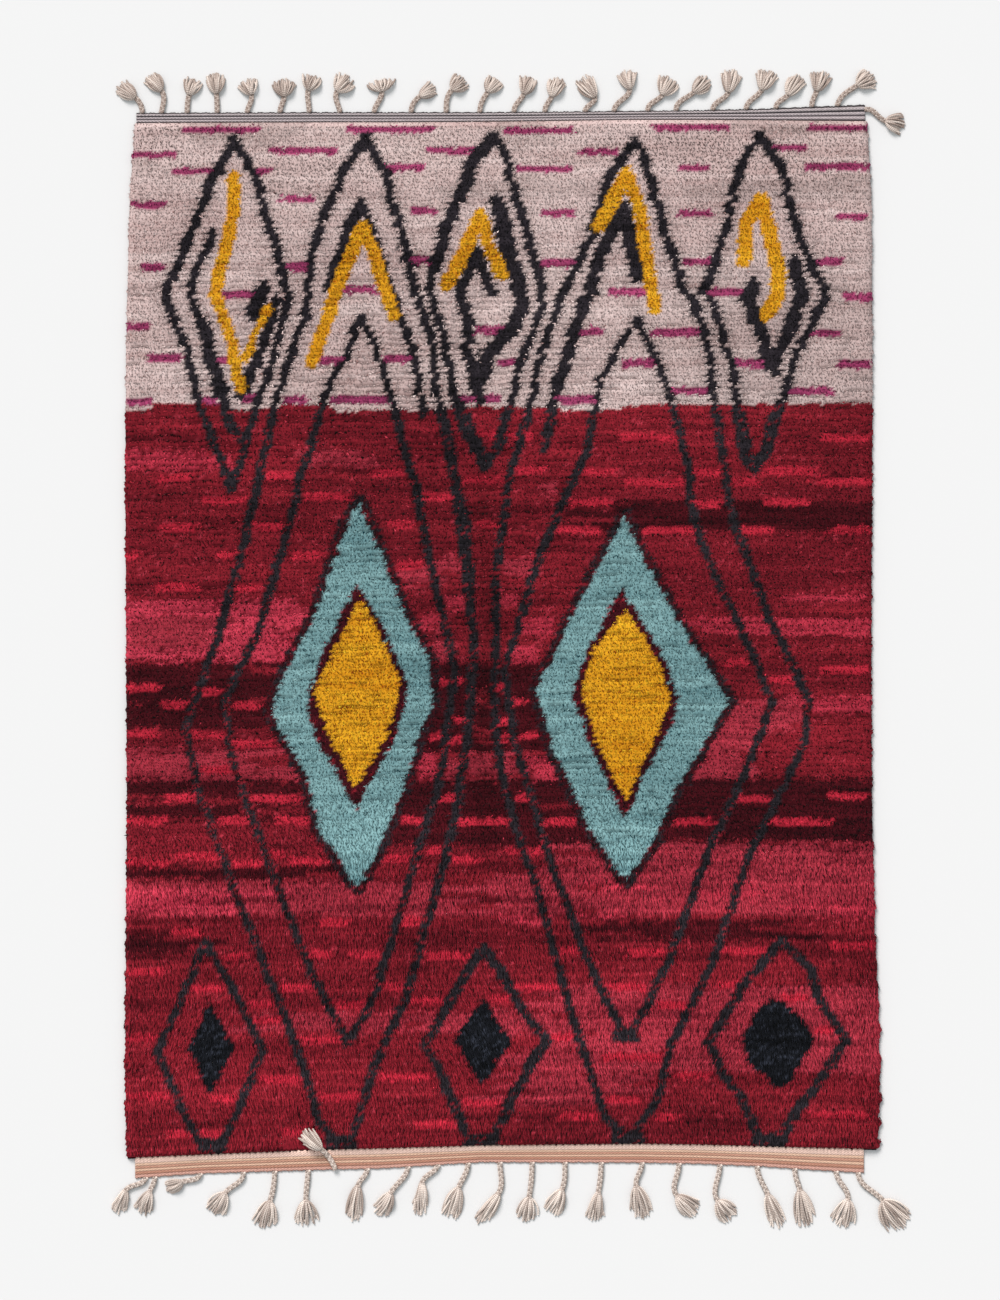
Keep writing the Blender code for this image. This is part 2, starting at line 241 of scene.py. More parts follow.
# Down the plan: half the height of a dash, half of a line as a share of its width, and how loosely the rows lie
DASH_HALVES = ((240, 3.5), (260, 4.3), (410, 4.3), (430, 4.0))
LINE_HALVES = (
    (280, 0.66),
    (330, 0.60),
    (409, 0.60),
    (411, 0.78),
    (620, 0.76),
    (700, 0.70),
    (900, 0.72),
    (960, 0.76),
)
LOOSE_ROWS = (
    (120, 0.05),
    (240, 0.2),
    (280, 0.55),
    (420, 0.6),
    (452, 0.7),
    (470, 0.4),
    (820, 0.4),
    (900, 0.05),
)

# Places on the plan: the old fold, where combed pile starts and is in full, darker pink wool, and lines half hidden
FOLD = {"x": 487, "half": 12, "sway": 4, "top": 420, "full": 480, "low": 780, "bottom": 900}
COMBED = (780, 900)
PINK_DIMMING = {"left": 600, "full_x": 720, "top": 230, "full_y": 290}
FAINT = {"right": 300, "top": 690, "bottom": 900}

# Shares of knots: strays of another red, red knots across a line and across a half hidden one, dark knots in a
# lozenge's fringe, charcoal ones in a teal fringe, crimson ones in a dark edge, and slate ones in a black core
STRAY_SHARE = 0.10
CROSSED_SHARE = 0.08
FAINT_SHARE = 0.26
FRINGE_SHARE = 0.88
FRINGE_CHARCOAL_SHARE = 0.45
EDGE_CRIMSON_SHARE = 0.15
SLATE_SHARE = 0.16

# How far the dark fringe reaches to both sides of a lozenge's edge, in steps
FRINGE_REACH = {"teal": 7.5, "mustard": 5.5, "black": 1.5}

# Each yarn has its darkest and its lightest fibre, as sRGB
YARNS = {
    "pink": ((184, 152, 148), (238, 215, 211)),
    "grey pink": ((160, 134, 130), (220, 197, 193)),
    "magenta": ((110, 32, 68), (194, 82, 128)),
    "charcoal": ((8, 7, 10), (56, 50, 56)),
    "mustard": ((190, 112, 10), (255, 190, 44)),
    "crimson": ((60, 7, 16), (166, 40, 54)),
    "rose": ((88, 16, 28), (206, 64, 82)),
    "bright crimson": ((104, 16, 32), (226, 66, 88)),
    "light crimson": ((124, 22, 40), (240, 76, 100)),
    "maroon": ((50, 6, 14), (154, 36, 50)),
    "dark maroon": ((22, 4, 9), (92, 20, 30)),
    "scarlet": ((116, 14, 30), (226, 52, 74)),
    "teal": ((78, 116, 122), (150, 192, 194)),
    "black": ((1, 1, 2), (30, 32, 38)),
    "slate": ((20, 22, 28), (60, 64, 76)),
    "dark edge": ((14, 6, 10), (84, 22, 32)),
}
CODES = {name: code for code, name in enumerate(YARNS)}

# Where the pink wool ends, from left to right
PINK_BORDER = (
    (118, 411),
    (150, 411),
    (154, 403),
    (215, 403),
    (235, 410),
    (262, 410),
    (285, 405),
    (330, 406),
    (336, 411),
    (440, 410),
    (480, 406),
    (600, 411),
    (640, 405),
    (885, 403),
)

# Batches of red wool: left, right, top and bottom of each on the plan, and its yarn
BATCHES = (
    (40, 960, 400, 452, "crimson"),
    (40, 960, 434, 440, "maroon"),
    (40, 222, 450, 468, "bright crimson"),
    (300, 372, 450, 466, "rose"),
    (222, 560, 466, 500, "crimson"),
    (240, 560, 506, 518, "maroon"),
    (540, 960, 486, 556, "maroon"),
    (600, 960, 500, 530, "dark maroon"),
    (40, 480, 540, 560, "maroon"),
    (500, 535, 556, 574, "rose"),
    (435, 462, 556, 572, "rose"),
    (545, 559, 480, 495, "rose"),
    (715, 830, 562, 574, "bright crimson"),
    (400, 440, 566, 586, "rose"),
    (40, 300, 578, 596, "maroon"),
    (787, 870, 592, 600, "bright crimson"),
    (40, 300, 600, 660, "light crimson"),
    (600, 960, 558, 592, "maroon"),
    (400, 540, 956, 1000, "maroon"),
    (126, 214, 616, 648, "rose"),
    (444, 465, 594, 609, "bright crimson"),
    (497, 519, 592, 607, "bright crimson"),
    (415, 444, 614, 627, "bright crimson"),
    (430, 451, 632, 661, "rose"),
    (520, 556, 617, 635, "bright crimson"),
    (507, 540, 645, 664, "bright crimson"),
    (695, 880, 618, 634, "bright crimson"),
    (40, 282, 664, 704, "dark maroon"),
    (282, 420, 664, 684, "maroon"),
    (400, 600, 664, 752, "dark maroon"),
    (475, 492, 690, 706, "crimson"),
    (475, 492, 726, 742, "crimson"),
    (40, 282, 704, 728, "dark maroon"),
    (715, 960, 662, 690, "maroon"),
    (715, 800, 700, 730, "rose"),
    (805, 960, 696, 712, "bright crimson"),
    (40, 275, 728, 748, "maroon"),
    (40, 290, 748, 780, "rose"),
    (690, 755, 724, 778, "rose"),
    (417, 440, 752, 779, "bright crimson"),
    (445, 462, 757, 777, "rose"),
    (467, 497, 752, 776, "rose"),
    (502, 520, 750, 775, "rose"),
    (529, 560, 755, 784, "bright crimson"),
    (40, 300, 780, 796, "dark maroon"),
    (300, 400, 780, 796, "maroon"),
    (40, 330, 838, 850, "maroon"),
    (40, 960, 800, 838, "maroon"),
    (40, 300, 804, 818, "dark maroon"),
    (640, 960, 778, 840, "dark maroon"),
    (380, 600, 780, 844, "dark maroon"),
    (560, 960, 842, 914, "rose"),
    (500, 560, 874, 914, "rose"),
    (400, 560, 846, 872, "maroon"),
    (590, 640, 880, 890, "bright crimson"),
    (700, 770, 888, 898, "bright crimson"),
    (510, 630, 912, 926, "bright crimson"),
    (795, 960, 900, 918, "bright crimson"),
    (40, 330, 866, 878, "dark maroon"),
    (40, 470, 880, 916, "rose"),
    (40, 245, 888, 914, "light crimson"),
    (40, 500, 916, 958, "maroon"),
    (40, 190, 936, 952, "dark maroon"),
    (540, 830, 916, 956, "maroon"),
    (600, 780, 920, 940, "dark maroon"),
    (40, 960, 960, 1000, "crimson"),
    (40, 160, 996, 1012, "maroon"),
    (540, 960, 984, 1050, "rose"),
    (250, 430, 1012, 1030, "rose"),
    (500, 960, 1050, 1072, "rose"),
    (500, 640, 1072, 1104, "rose"),
    (436, 530, 1010, 1034, "rose"),
    (150, 500, 1050, 1096, "crimson"),
    (520, 760, 1112, 1146, "maroon"),
)

# Short dashes of brighter wool along a row: left, right and y of each on the plan
MAGENTA_DASHES = (
    (181, 260, 130),
    (131, 176, 155),
    (172, 213, 171),
    (257, 271, 171),
    (270, 337, 151),
    (346, 435, 130),
    (131, 168, 205),
    (279, 316, 199),
    (385, 426, 168),
    (425, 479, 151),
    (506, 576, 131),
    (652, 731, 128),
    (516, 572, 169),
    (578, 617, 152),
    (411, 437, 211),
    (539, 575, 213),
    (805, 869, 128),
    (774, 808, 148),
    (680, 713, 168),
    (806, 870, 167),
    (679, 711, 213),
    (835, 869, 217),
    (140, 165, 268),
    (126, 151, 327),
    (148, 181, 358),
    (125, 153, 402),
    (222, 258, 294),
    (284, 307, 267),
    (345, 379, 290),
    (216, 230, 360),
    (318, 341, 360),
    (383, 411, 359),
    (201, 216, 400),
    (242, 260, 399),
    (283, 308, 400),
    (332, 391, 400),
    (412, 433, 261),
    (474, 507, 330),
    (541, 575, 263),
    (498, 516, 362),
    (608, 646, 292),
    (577, 603, 332),
    (652, 699, 333),
    (620, 655, 363),
    (460, 500, 399),
    (559, 594, 400),
    (681, 715, 262),
    (813, 843, 262),
    (710, 744, 292),
    (843, 875, 297),
    (807, 840, 333),
    (732, 766, 364),
    (837, 873, 365),
    (672, 709, 391),
    (787, 831, 391),
)
SCARLET_DASHES = (
    (158, 190, 478),
    (262, 300, 476),
    (370, 405, 473),
    (516, 545, 471),
    (580, 620, 472),
    (694, 722, 473),
    (762, 820, 471),
    (625, 690, 483),
    (735, 760, 482),
    (812, 870, 482),
    (201, 248, 501),
    (305, 350, 497),
    (423, 455, 497),
    (568, 612, 503),
    (694, 722, 504),
    (765, 810, 502),
    (161, 200, 528),
    (253, 284, 527),
    (388, 414, 524),
    (557, 600, 530),
    (645, 694, 531),
    (740, 770, 531),
    (830, 870, 530),
    (510, 533, 437),
    (479, 497, 434),
    (465, 502, 480),
    (477, 500, 525),
    (620, 673, 438),
    (820, 870, 438),
    (126, 140, 555),
    (215, 240, 555),
    (290, 320, 556),
    (400, 425, 565),
    (155, 200, 587),
    (235, 265, 588),
    (126, 160, 688),
    (195, 222, 692),
    (163, 187, 705),
    (232, 258, 705),
    (127, 160, 734),
    (185, 220, 735),
    (230, 275, 744),
    (725, 750, 662),
    (770, 800, 680),
    (820, 870, 670),
    (195, 230, 770),
    (165, 200, 798),
    (242, 300, 799),
    (127, 165, 821),
    (220, 250, 821),
    (275, 312, 821),
    (398, 428, 821),
    (455, 512, 822),
    (735, 772, 799),
    (828, 870, 796),
    (672, 715, 822),
    (770, 830, 822),
    (545, 580, 822),
    (515, 530, 798),
    (174, 225, 856),
    (270, 285, 855),
    (427, 445, 850),
    (127, 170, 863),
    (232, 265, 864),
    (285, 325, 861),
    (375, 415, 859),
    (449, 478, 860),
    (437, 452, 683),
    (455, 468, 682),
    (496, 507, 687),
    (510, 525, 702),
    (454, 471, 720),
    (496, 508, 721),
    (427, 445, 736),
    (452, 464, 740),
    (520, 537, 736),
    (500, 511, 739),
    (441, 455, 798),
    (506, 517, 851),
    (527, 544, 852),
    (320, 350, 922),
    (400, 420, 921),
    (170, 200, 932),
    (225, 247, 957),
    (306, 332, 954),
    (352, 388, 955),
    (424, 467, 956),
    (557, 582, 951),
    (626, 665, 953),
    (722, 768, 951),
    (830, 875, 946),
    (127, 165, 972),
    (190, 224, 988),
    (281, 313, 988),
    (385, 405, 987),
    (515, 560, 987),
    (608, 645, 987),
    (490, 512, 999),
    (408, 445, 1001),
    (246, 275, 1005),
    (335, 367, 1005),
    (655, 690, 1005),
    (715, 740, 985),
    (782, 808, 998),
    (252, 282, 1020),
    (127, 155, 1038),
    (300, 340, 1040),
    (548, 575, 1037),
    (815, 835, 1030),
    (600, 660, 1057),
    (260, 300, 1080),
    (380, 430, 1077),
    (675, 710, 1075),
    (127, 170, 1096),
    (212, 235, 1099),
    (317, 360, 1097),
    (460, 500, 1103),
    (600, 640, 1100),
    (415, 455, 1125),
    (560, 600, 1116),
    (655, 680, 1118),
    (810, 870, 1115),
    (168, 190, 1134),
    (200, 225, 1134),
    (280, 300, 1132),
)

# Drawn lines: the yarn, the width in steps, and the bends of each on the plan
LINES = (
    ("charcoal", 8, ((236, 139), (210, 185), (200, 215), (164, 297), (186, 345), (198, 400))),
    ("charcoal", 6, ((198, 400), (212, 438), (231, 489), (245, 451), (257, 402))),
    ("charcoal", 8, ((236, 139), (256, 178), (289, 298), (270, 373), (257, 402))),
    ("charcoal", 8, ((212, 234), (190, 289), (203, 335), (219, 389), (232, 430), (245, 440))),
    ("charcoal", 13, ((204, 326), (209, 350), (222, 396))),
    ("charcoal", 12, ((264, 288), (254, 316))),
    ("charcoal", 11, ((276, 301), (264, 345), (240, 396))),
    ("mustard", 10, ((233, 178), (234, 212), (215, 293), (232, 343), (240, 388))),
    ("mustard", 7, ((269, 308), (257, 330), (246, 358))),
    ("charcoal", 8, ((366, 137), (339, 178), (312, 249), (308, 306), (289, 364), (276, 400))),
    ("charcoal", 8, ((366, 137), (387, 178), (412, 278), (434, 349), (435, 383), (449, 443))),
    ("charcoal", 9, ((361, 203), (347, 231), (330, 287))),
    ("charcoal", 8, ((361, 203), (381, 259), (397, 306), (416, 364), (424, 412))),
    ("mustard", 11, ((362, 228), (337, 291), (312, 362))),
    ("mustard", 10, ((362, 228), (374, 253), (394, 316))),
    ("charcoal", 11, ((494, 138), (476, 155), (453, 212), (434, 268))),
    ("charcoal", 8, ((434, 268), (430, 293), (445, 345), (455, 398))),
    ("charcoal", 10, ((455, 398), (468, 432), (485, 464))),
    ("charcoal", 7, ((485, 464), (498, 446), (510, 405))),
    ("charcoal", 8, ((494, 138), (502, 149), (520, 212), (543, 293), (541, 310), (522, 360), (510, 405))),
    ("charcoal", 13, ((497, 202), (512, 264), (523, 301), (514, 326), (487, 356), (478, 390))),
    ("charcoal", 11, ((478, 254), (462, 287), (467, 345), (478, 400))),
    ("charcoal", 9, ((478, 254), (493, 292))),
    ("mustard", 11, ((481, 216), (466, 249), (447, 284))),
    ("mustard", 10, ((481, 216), (489, 245), (502, 275))),
    ("charcoal", 8, ((633, 141), (608, 183), (592, 236), (564, 291), (543, 349), (533, 398))),
    ("charcoal", 8, ((633, 141), (642, 151), (657, 203), (676, 266), (706, 335), (713, 393))),
    ("charcoal", 11, ((623, 206), (600, 259), (573, 337), (558, 387))),
    ("charcoal", 7, ((558, 387), (543, 448))),
    ("charcoal", 13, ((623, 206), (634, 249), (638, 274))),
    ("mustard", 11, ((627, 174), (600, 226))),
    ("mustard", 10, ((627, 174), (640, 208), (655, 310))),
    ("charcoal", 8, ((760, 135), (739, 170), (716, 262), (705, 290), (724, 337), (736, 393))),
    ("charcoal", 9, ((736, 393), (745, 454), (754, 467), (765, 454), (779, 405))),
    ("charcoal", 8, ((760, 135), (782, 168), (797, 234), (827, 295), (803, 343), (779, 405))),
    ("charcoal", 13, ((794, 264), (803, 294), (788, 333), (774, 368))),
    ("charcoal", 12, ((752, 286), (747, 300), (760, 331), (773, 368))),
    ("mustard", 11, ((761, 200), (745, 224), (744, 262))),
    ("mustard", 12, ((761, 200), (771, 240), (779, 272), (776, 297), (766, 315))),
    ("charcoal", 6, ((276, 400), (261, 471), (239, 563), (210, 658), (186, 728), (199, 793))),
    ("charcoal", 6, ((199, 793), (244, 915), (282, 1007), (301, 1063), (320, 1122), (341, 1147))),
    ("charcoal", 9, ((456, 490), (464, 525), (470, 590))),
    ("charcoal", 7, ((449, 443), (456, 490), (470, 600), (474, 655), (467, 749), (447, 856), (427, 922))),
    ("charcoal", 6, ((427, 922), (405, 1001), (375, 1063), (354, 1135), (341, 1147))),
    ("charcoal", 7, ((361, 316), (343, 362), (324, 400))),
    ("charcoal", 6, ((324, 400), (310, 446), (278, 563), (256, 637), (226, 698), (230, 754))),
    ("charcoal", 6, ((230, 754), (268, 861), (307, 961), (347, 1042))),
    ("charcoal", 7, ((361, 316), (377, 352), (393, 400))),
    ("charcoal", 6, ((393, 400), (415, 487), (439, 601), (455, 670), (442, 772), (397, 923))),
    ("charcoal", 6, ((397, 923), (370, 1007), (347, 1042))),
    ("charcoal", 6, ((533, 398), (512, 465), (509, 490), (503, 530), (496, 572), (495, 720), (505, 793), (541, 905))),
    ("charcoal", 6, ((541, 905), (567, 999), (590, 1072), (606, 1118), (627, 1139))),
    ("charcoal", 6, ((713, 393), (733, 520), (770, 619), (809, 700), (804, 744), (747, 861))),
    ("charcoal", 6, ((747, 861), (711, 967), (670, 1047), (657, 1103), (627, 1139))),
    ("charcoal", 7, ((637, 318), (614, 355), (600, 383))),
    ("charcoal", 6, ((600, 383), (587, 451), (559, 510), (532, 578), (505, 670), (515, 742))),
    ("charcoal", 6, ((515, 742), (556, 879), (598, 984), (627, 1038))),
    ("charcoal", 7, ((637, 318), (657, 360), (673, 405))),
    ("charcoal", 6, ((673, 405), (689, 469), (691, 505), (708, 558), (749, 645), (772, 703))),
    ("charcoal", 6, ((772, 703), (747, 770), (709, 849), (675, 945), (648, 1005), (627, 1038))),
    ("charcoal", 6, ((206, 942), (192, 973), (158, 1053), (172, 1086), (186, 1116), (199, 1140))),
    ("charcoal", 6, ((206, 942), (234, 992), (263, 1050), (254, 1068), (238, 1110), (223, 1142))),
    ("charcoal", 7, ((482, 948), (467, 972), (442, 1015), (425, 1045), (437, 1067), (455, 1107), (467, 1138))),
    ("charcoal", 7, ((482, 948), (500, 970), (530, 1022), (547, 1040), (530, 1065), (512, 1100), (492, 1140))),
    ("charcoal", 7, ((782, 941), (744, 984), (721, 1021), (708, 1043), (726, 1078), (742, 1099), (757, 1136))),
    ("charcoal", 7, ((782, 941), (810, 969), (823, 1005), (846, 1040), (831, 1065), (797, 1110), (782, 1136))),
    ("charcoal", 10, ((206, 1146), (220, 1146))),
    ("charcoal", 11, ((333, 1143), (350, 1143))),
    ("charcoal", 10, ((469, 1142), (490, 1142))),
    ("charcoal", 10, ((618, 1139), (638, 1139))),
    ("charcoal", 9, ((618, 1036), (634, 1036))),
    ("charcoal", 11, ((759, 1140), (779, 1140))),
)

# Filled lozenges: the yarn and the corners of each on the plan, the outer ones first
LOZENGES = (
    (
        "teal",
        ((360, 502), (340, 543), (314, 617), (284, 675), (271, 714), (304, 772), (319, 828), (350, 880), (357, 887))
        + ((362, 880), (383, 841), (405, 785), (416, 742), (433, 705), (429, 658), (404, 612), (388, 571), (370, 528)),
    ),
    ("dark edge", ((355, 583), (383, 630), (409, 694), (393, 744), (356, 812), (317, 742), (304, 711), (322, 655))),
    ("mustard", ((359, 597), (383, 637), (401, 685), (388, 734), (356, 790), (327, 734), (312, 692), (335, 647))),
    (
        "teal",
        ((625, 515), (605, 553), (579, 601), (554, 653), (537, 690), (554, 752), (587, 823), (619, 873), (626, 881))
        + ((631, 873), (656, 839), (673, 795), (707, 742), (730, 700), (712, 675), (676, 617), (642, 556)),
    ),
    ("dark edge", ((621, 586), (658, 647), (679, 711), (643, 782), (624, 822), (602, 775), (571, 698), (589, 647))),
    ("mustard", ((625, 608), (656, 655), (673, 698), (650, 749), (626, 802), (605, 762), (579, 693), (594, 647))),
    ("black", ((209, 1004), (233, 1048), (209, 1091), (191, 1050))),
    ("black", ((483, 1001), (510, 1042), (482, 1084), (455, 1042))),
    (
        "black",
        ((770, 999), (786, 1005), (799, 1017), (811, 1036), (811, 1048), (797, 1066), (789, 1082), (776, 1088))
        + ((765, 1075), (750, 1062), (743, 1046), (744, 1034), (757, 1014)),
    ),
)


def read(table, columns, column, at):
    """Reads one column of a table at a place, or at many."""
    rows = np.array(table)
    return np.interp(at, rows[:, 0], rows[:, columns.index(column)])


def graded(table, at):
    """Reads a table of two columns at a place, or at many."""
    return np.interp(at, *np.array(table).T)


def ramp(at, start, end):
    """Rises from 0 at the start to 1 at the end, and stays there."""
    return np.clip((at - start) / (end - start), 0, 1)


def side(y, column):
    return read(SIDES, SIDE_COLUMNS, column, y)


def across(x, column):
    return read(ENDS, END_COLUMNS, column, x)


def field_point(u, v):
    """The place on the floor of a share of the field's width and of its length, with the waves of its rows."""
    x_guess = (u - 0.5) * FIELD_WIDTH
    y = (1 - v) * across(x_guess, "foot_seam") + v * across(x_guess, "head_seam")
    slow = np.sin(41 * x_guess + 2.3 * np.sin(9 * y))
    wave = slow + 0.7 * np.sin(97 * x_guess - 31 * y) + 0.5 * np.sin(19 * y + 13 * x_guess)
    y = y + ROW_WAVE * wave * np.clip(30 * v * (1 - v), 0, 1)
    left, right = side(y, "left"), side(y, "right")
    return left + u * (right - left), y


def on_plan(x, y):
    """The place on the pattern's plan of a place on the floor."""
    return PLAN_MIDDLE[0] + x / STEP, PLAN_MIDDLE[1] - y / STEP


def linear(colour):
    """Turns sRGB, 0 to 255, into Blender's linear colour."""
    share = np.asarray(colour, float) / 255
    return np.where(share <= 0.04045, share / 12.92, ((share + 0.055) / 1.055) ** 2.4)


def lump(x, y):
    """Slow swells in the pile, between about -1 and 1, as in the solid."""
    first = np.sin(2 * np.pi * x / (2.3 * LUMP_LENGTH) + 1.7 * np.sin(5.1 * y))
    second = np.cos(2 * np.pi * y / LUMP_LENGTH + 1.3 * np.sin(4.3 * x + 0.8))
    third = np.sin(2 * np.pi * (x + 0.6 * y) / (1.3 * LUMP_LENGTH) + 2.1)
    return (first + second + third) / 3


def pressed(x, y):
    """How far the folded cord presses the pile down, from 0 to 1."""
    dx = (x - PRESSED["centre"][0]) / PRESSED["reach"][0]
    dy = (y - PRESSED["centre"][1]) / PRESSED["reach"][1]
    return np.clip(1 - (dx * dx + dy * dy) ** 2, 0, 1)


def distance_to_line(x, y, bends):
    """How far each knot is from a line with a few bends."""
    nearest = np.full(x.shape, np.inf)
    for (ax, ay), (bx, by) in zip(bends, bends[1:]):
        run_x, run_y = bx - ax, by - ay
        share = ((x - ax) * run_x + (y - ay) * run_y) / (run_x * run_x + run_y * run_y)
        share = np.clip(share, 0, 1)
        nearest = np.minimum(nearest, np.hypot(x - ax - share * run_x, y - ay - share * run_y))
    return nearest


def inside_shape(x, y, corners):
    """Which knots lie within a shape's corners."""
    found = np.zeros(x.shape, bool)
    for (ax, ay), (bx, by) in zip(corners, corners[1:] + corners[:1]):
        if ay == by:
            continue
        crosses = (ay > y) != (by > y)
        found ^= crosses & (x < ax + (y - ay) * (bx - ax) / (by - ay))
    return found


def uneven(chance, stretch, calm):
    """Values that wander along every row: stretch is how far one runs, and calm how many rows share it."""
    knots_across = int(PLAN_WIDTH / stretch) + 3
    coarse = chance.normal(size=(PILE_ROWS // calm + 2, knots_across))
    rows = np.arange(PILE_ROWS) / calm
    lines = np.array([np.interp(rows, np.arange(len(coarse)), column) for column in coarse.T]).T
    return lines, stretch


def wander(noise, row, x):
    """Reads such values at each knot."""
    lines, stretch = noise
    place = np.clip(x / stretch, 0, lines.shape[1] - 1.001)
    first = place.astype(int)
    part = place - first
    return lines[row, first] * (1 - part) + lines[row, first + 1] * part


def row_level(x, row):
    """The plan's y of the middle of a row: a batch or a dash takes whole rows."""
    place = (x - PLAN_MIDDLE[0]) * STEP
    v = (row + 0.5) / PILE_ROWS
    y = (1 - v) * across(place, "foot_seam") + v * across(place, "head_seam")
    return PLAN_MIDDLE[1] - y / STEP


def choose_yarns(x, y, row, groove):
    """Which yarn each knot is tied with, and how much painted light pink wool gets beside a charcoal line there.

    Both follow from its place on the plan, its row, and whether it is between two rows.
    """
    chance = np.random.default_rng(SEEDS["yarns"])
    sway = uneven(chance, 60, 3)
    ragged = chance.normal(size=PILE_ROWS)
    teeth = uneven(chance, 26, 1)
    seen_x = x + 0.8 * wander(sway, row, x) + np.where(y < PINK_END, 1.5, 1.0) * wander(teeth, row, x)
    seen_x = seen_x + (0.8 - 0.3 * combed_share(y)) * chance.normal(size=x.shape)
    seen_y = y + chance.normal(0, 0.6, x.shape)
    red = y + 0.5 * chance.normal(size=x.shape) > graded(PINK_BORDER, x)
    yarn = np.where(red, CODES["crimson"], CODES["pink"])
    yarn[~red & (y < 200) & (wander(uneven(chance, 130, 4), row, x) > 0.35)] = CODES["grey pink"]
    lay_batches(yarn, x, row, red, ragged, chance)
    tie_dashes(yarn, seen_x, seen_y, chance)
    charcoal, beside = tie_lines(yarn, x, y, seen_x, seen_y, red, groove)
    pink_puff_shading = np.where(~red & (y > 190), np.exp(-beside / 5), 0)
    faint = (x < FAINT["right"]) & (y > FAINT["top"]) & (y < FAINT["bottom"])
    crossed = charcoal & red & (chance.random(x.shape) < np.where(faint, FAINT_SHARE, CROSSED_SHARE))
    yarn[crossed] = CODES["crimson"]
    fill_lozenges(yarn, seen_x, seen_y, groove, chance)
    return yarn, pink_puff_shading


def lay_batches(yarn, x, row, red, ragged, chance):
    """Ties whole rows of each batch of red wool, with ragged ends and a few knots of other reds."""
    level = row_level(x, row)
    for left, right, top, bottom, name in BATCHES:
        reach = min(20, 0.12 * (right - left))
        ends = reach * ragged[(row * 7 + 3) % PILE_ROWS] + chance.normal(0, 2, x.shape)
        shift = 1.6 * chance.normal(size=x.shape)
        own = (x > left + ends) & (x < right + ends) & (level + shift > top) & (level + shift < bottom)
        yarn[red & own] = CODES[name]
    strays = red & (yarn != CODES["dark maroon"]) & (chance.random(x.shape) < STRAY_SHARE)
    yarn[strays] = chance.choice([CODES[name] for name in ("crimson", "rose", "maroon")], int(strays.sum()))


def tie_dashes(yarn, x, y, chance):
    """Ties the short dashes, the scarlet ones with ragged ends."""
    for table, name in ((MAGENTA_DASHES, "magenta"), (SCARLET_DASHES, "scarlet")):
        for left, right, at in table:
            ends = chance.normal(0, 2.5, x.shape) if name == "scarlet" else 0
            yarn[(x > left + ends) & (x < right + ends) & (np.abs(y - at) < graded(DASH_HALVES, at))] = CODES[name]


def tie_lines(yarn, x, y, seen_x, seen_y, red, groove):
    """Ties the lines. Tells which knots the charcoal ones took, and how far each other knot is from one of them."""
    charcoal = np.zeros(x.shape, bool)
    beside = np.full(x.shape, np.inf)
    for name, width, bends in LINES:
        calm = 0.4 if name == "mustard" else 1.0
        half = graded(LINE_HALVES, y) * width
        half += calm * np.where(red, 0.4, 1.0) * np.where(groove, 1.3, -0.9)
        strayed_x = x + calm * np.where(red, 0.75, 1.0) * (seen_x - x)
        away = distance_to_line(strayed_x, seen_y, bends)
        near = away < half
        if name == "charcoal":
            charcoal |= near
            beside = np.minimum(beside, np.where(near, np.inf, away - half))
        yarn[near] = CODES[name]
    return charcoal, beside


def fill_lozenges(yarn, x, y, groove, chance):
    """Fills the lozenges, with a dark fringe to both sides of their edges."""
    for name, corners in LOZENGES:
        rim = distance_to_line(x, y, corners + corners[:1])
        if name in FRINGE_REACH:
            fringe = rim < FRINGE_REACH[name] + 1.2 * groove
            dark = "black" if name == "black" else "dark edge"
            yarn[fringe & (chance.random(x.shape) < FRINGE_SHARE)] = CODES[dark]
            if name == "teal":
                yarn[fringe & (chance.random(x.shape) < FRINGE_CHARCOAL_SHARE)] = CODES["charcoal"]
        full = inside_shape(x, y, corners) & ((rim > 1.5) | ~groove)
        yarn[full] = CODES[name]
        if name == "dark edge":
            yarn[full & (chance.random(x.shape) < EDGE_CRIMSON_SHARE)] = CODES["crimson"]
        if name == "black":
            yarn[full & (chance.random(x.shape) < SLATE_SHARE)] = CODES["slate"]


def dye(yarn, x, y, row, spread):
    """The linear colour of each knot, from its yarn and how unevenly that was dyed."""
    chance = np.random.default_rng(SEEDS["dye"])
    dark, light = (np.array([linear(fibres[end]) for fibres in YARNS.values()]) for end in (0, 1))
    streaks = wander(uneven(chance, 70, 1), row, x)
    clouds = wander(uneven(chance, 90, 9), row, x)
    pink = yarn == CODES["pink"]
    tone = 0.5 + spread * np.where(pink, 0.74, 1.0) * chance.normal(size=x.shape) + 0.13 * streaks + 0.10 * clouds
    tone = np.clip(tone, -0.3, 1.4)[:, None]
    # Pink wool grows darker towards the lower right of the pink end.
    pink_dimming = pink * ramp(x, PINK_DIMMING["left"], PINK_DIMMING["full_x"]) * ramp(y, PINK_DIMMING["top"], PINK_DIMMING["full_y"])
    return np.clip((dark[yarn] * (1 - tone) + light[yarn] * tone) * (1 - 0.13 * pink_dimming)[:, None], 0.002, 1)


class Thread:
    """One output of a node, so that sums and products of outputs read as such."""

    def __init__(self, board, socket):
        self.board = board
        self.socket = socket

    def joined(self, operation, first, second):
        return self.board.node("ShaderNodeMath", {"operation": operation}, {0: first, 1: second})

    def __add__(self, other):
        return self.joined("ADD", self, other)

    def __radd__(self, other):
        return self.joined("ADD", other, self)

    def __sub__(self, other):
        return self.joined("SUBTRACT", self, other)

    def __rsub__(self, other):
        return self.joined("SUBTRACT", other, self)

    def __mul__(self, other):
        return self.joined("MULTIPLY", self, other)

    def __rmul__(self, other):
        return self.joined("MULTIPLY", other, self)


class Board:
    """A node tree that is being put together."""

    def __init__(self, tree):
        self.tree = tree

    def node(self, kind, settings=None, sockets=None, output=0):
        """Adds a node: its settings first, then the values or links of its sockets. Gives one of its outputs."""
        made = self.tree.nodes.new(kind)
        for name, value in (settings or {}).items():
            setattr(made, name, value)
        for key, value in (sockets or {}).items():
            if isinstance(value, Thread):
                self.tree.links.new(value.socket, made.inputs[key])
            else:
                made.inputs[key].default_value = value
        return Thread(self, made.outputs[output])


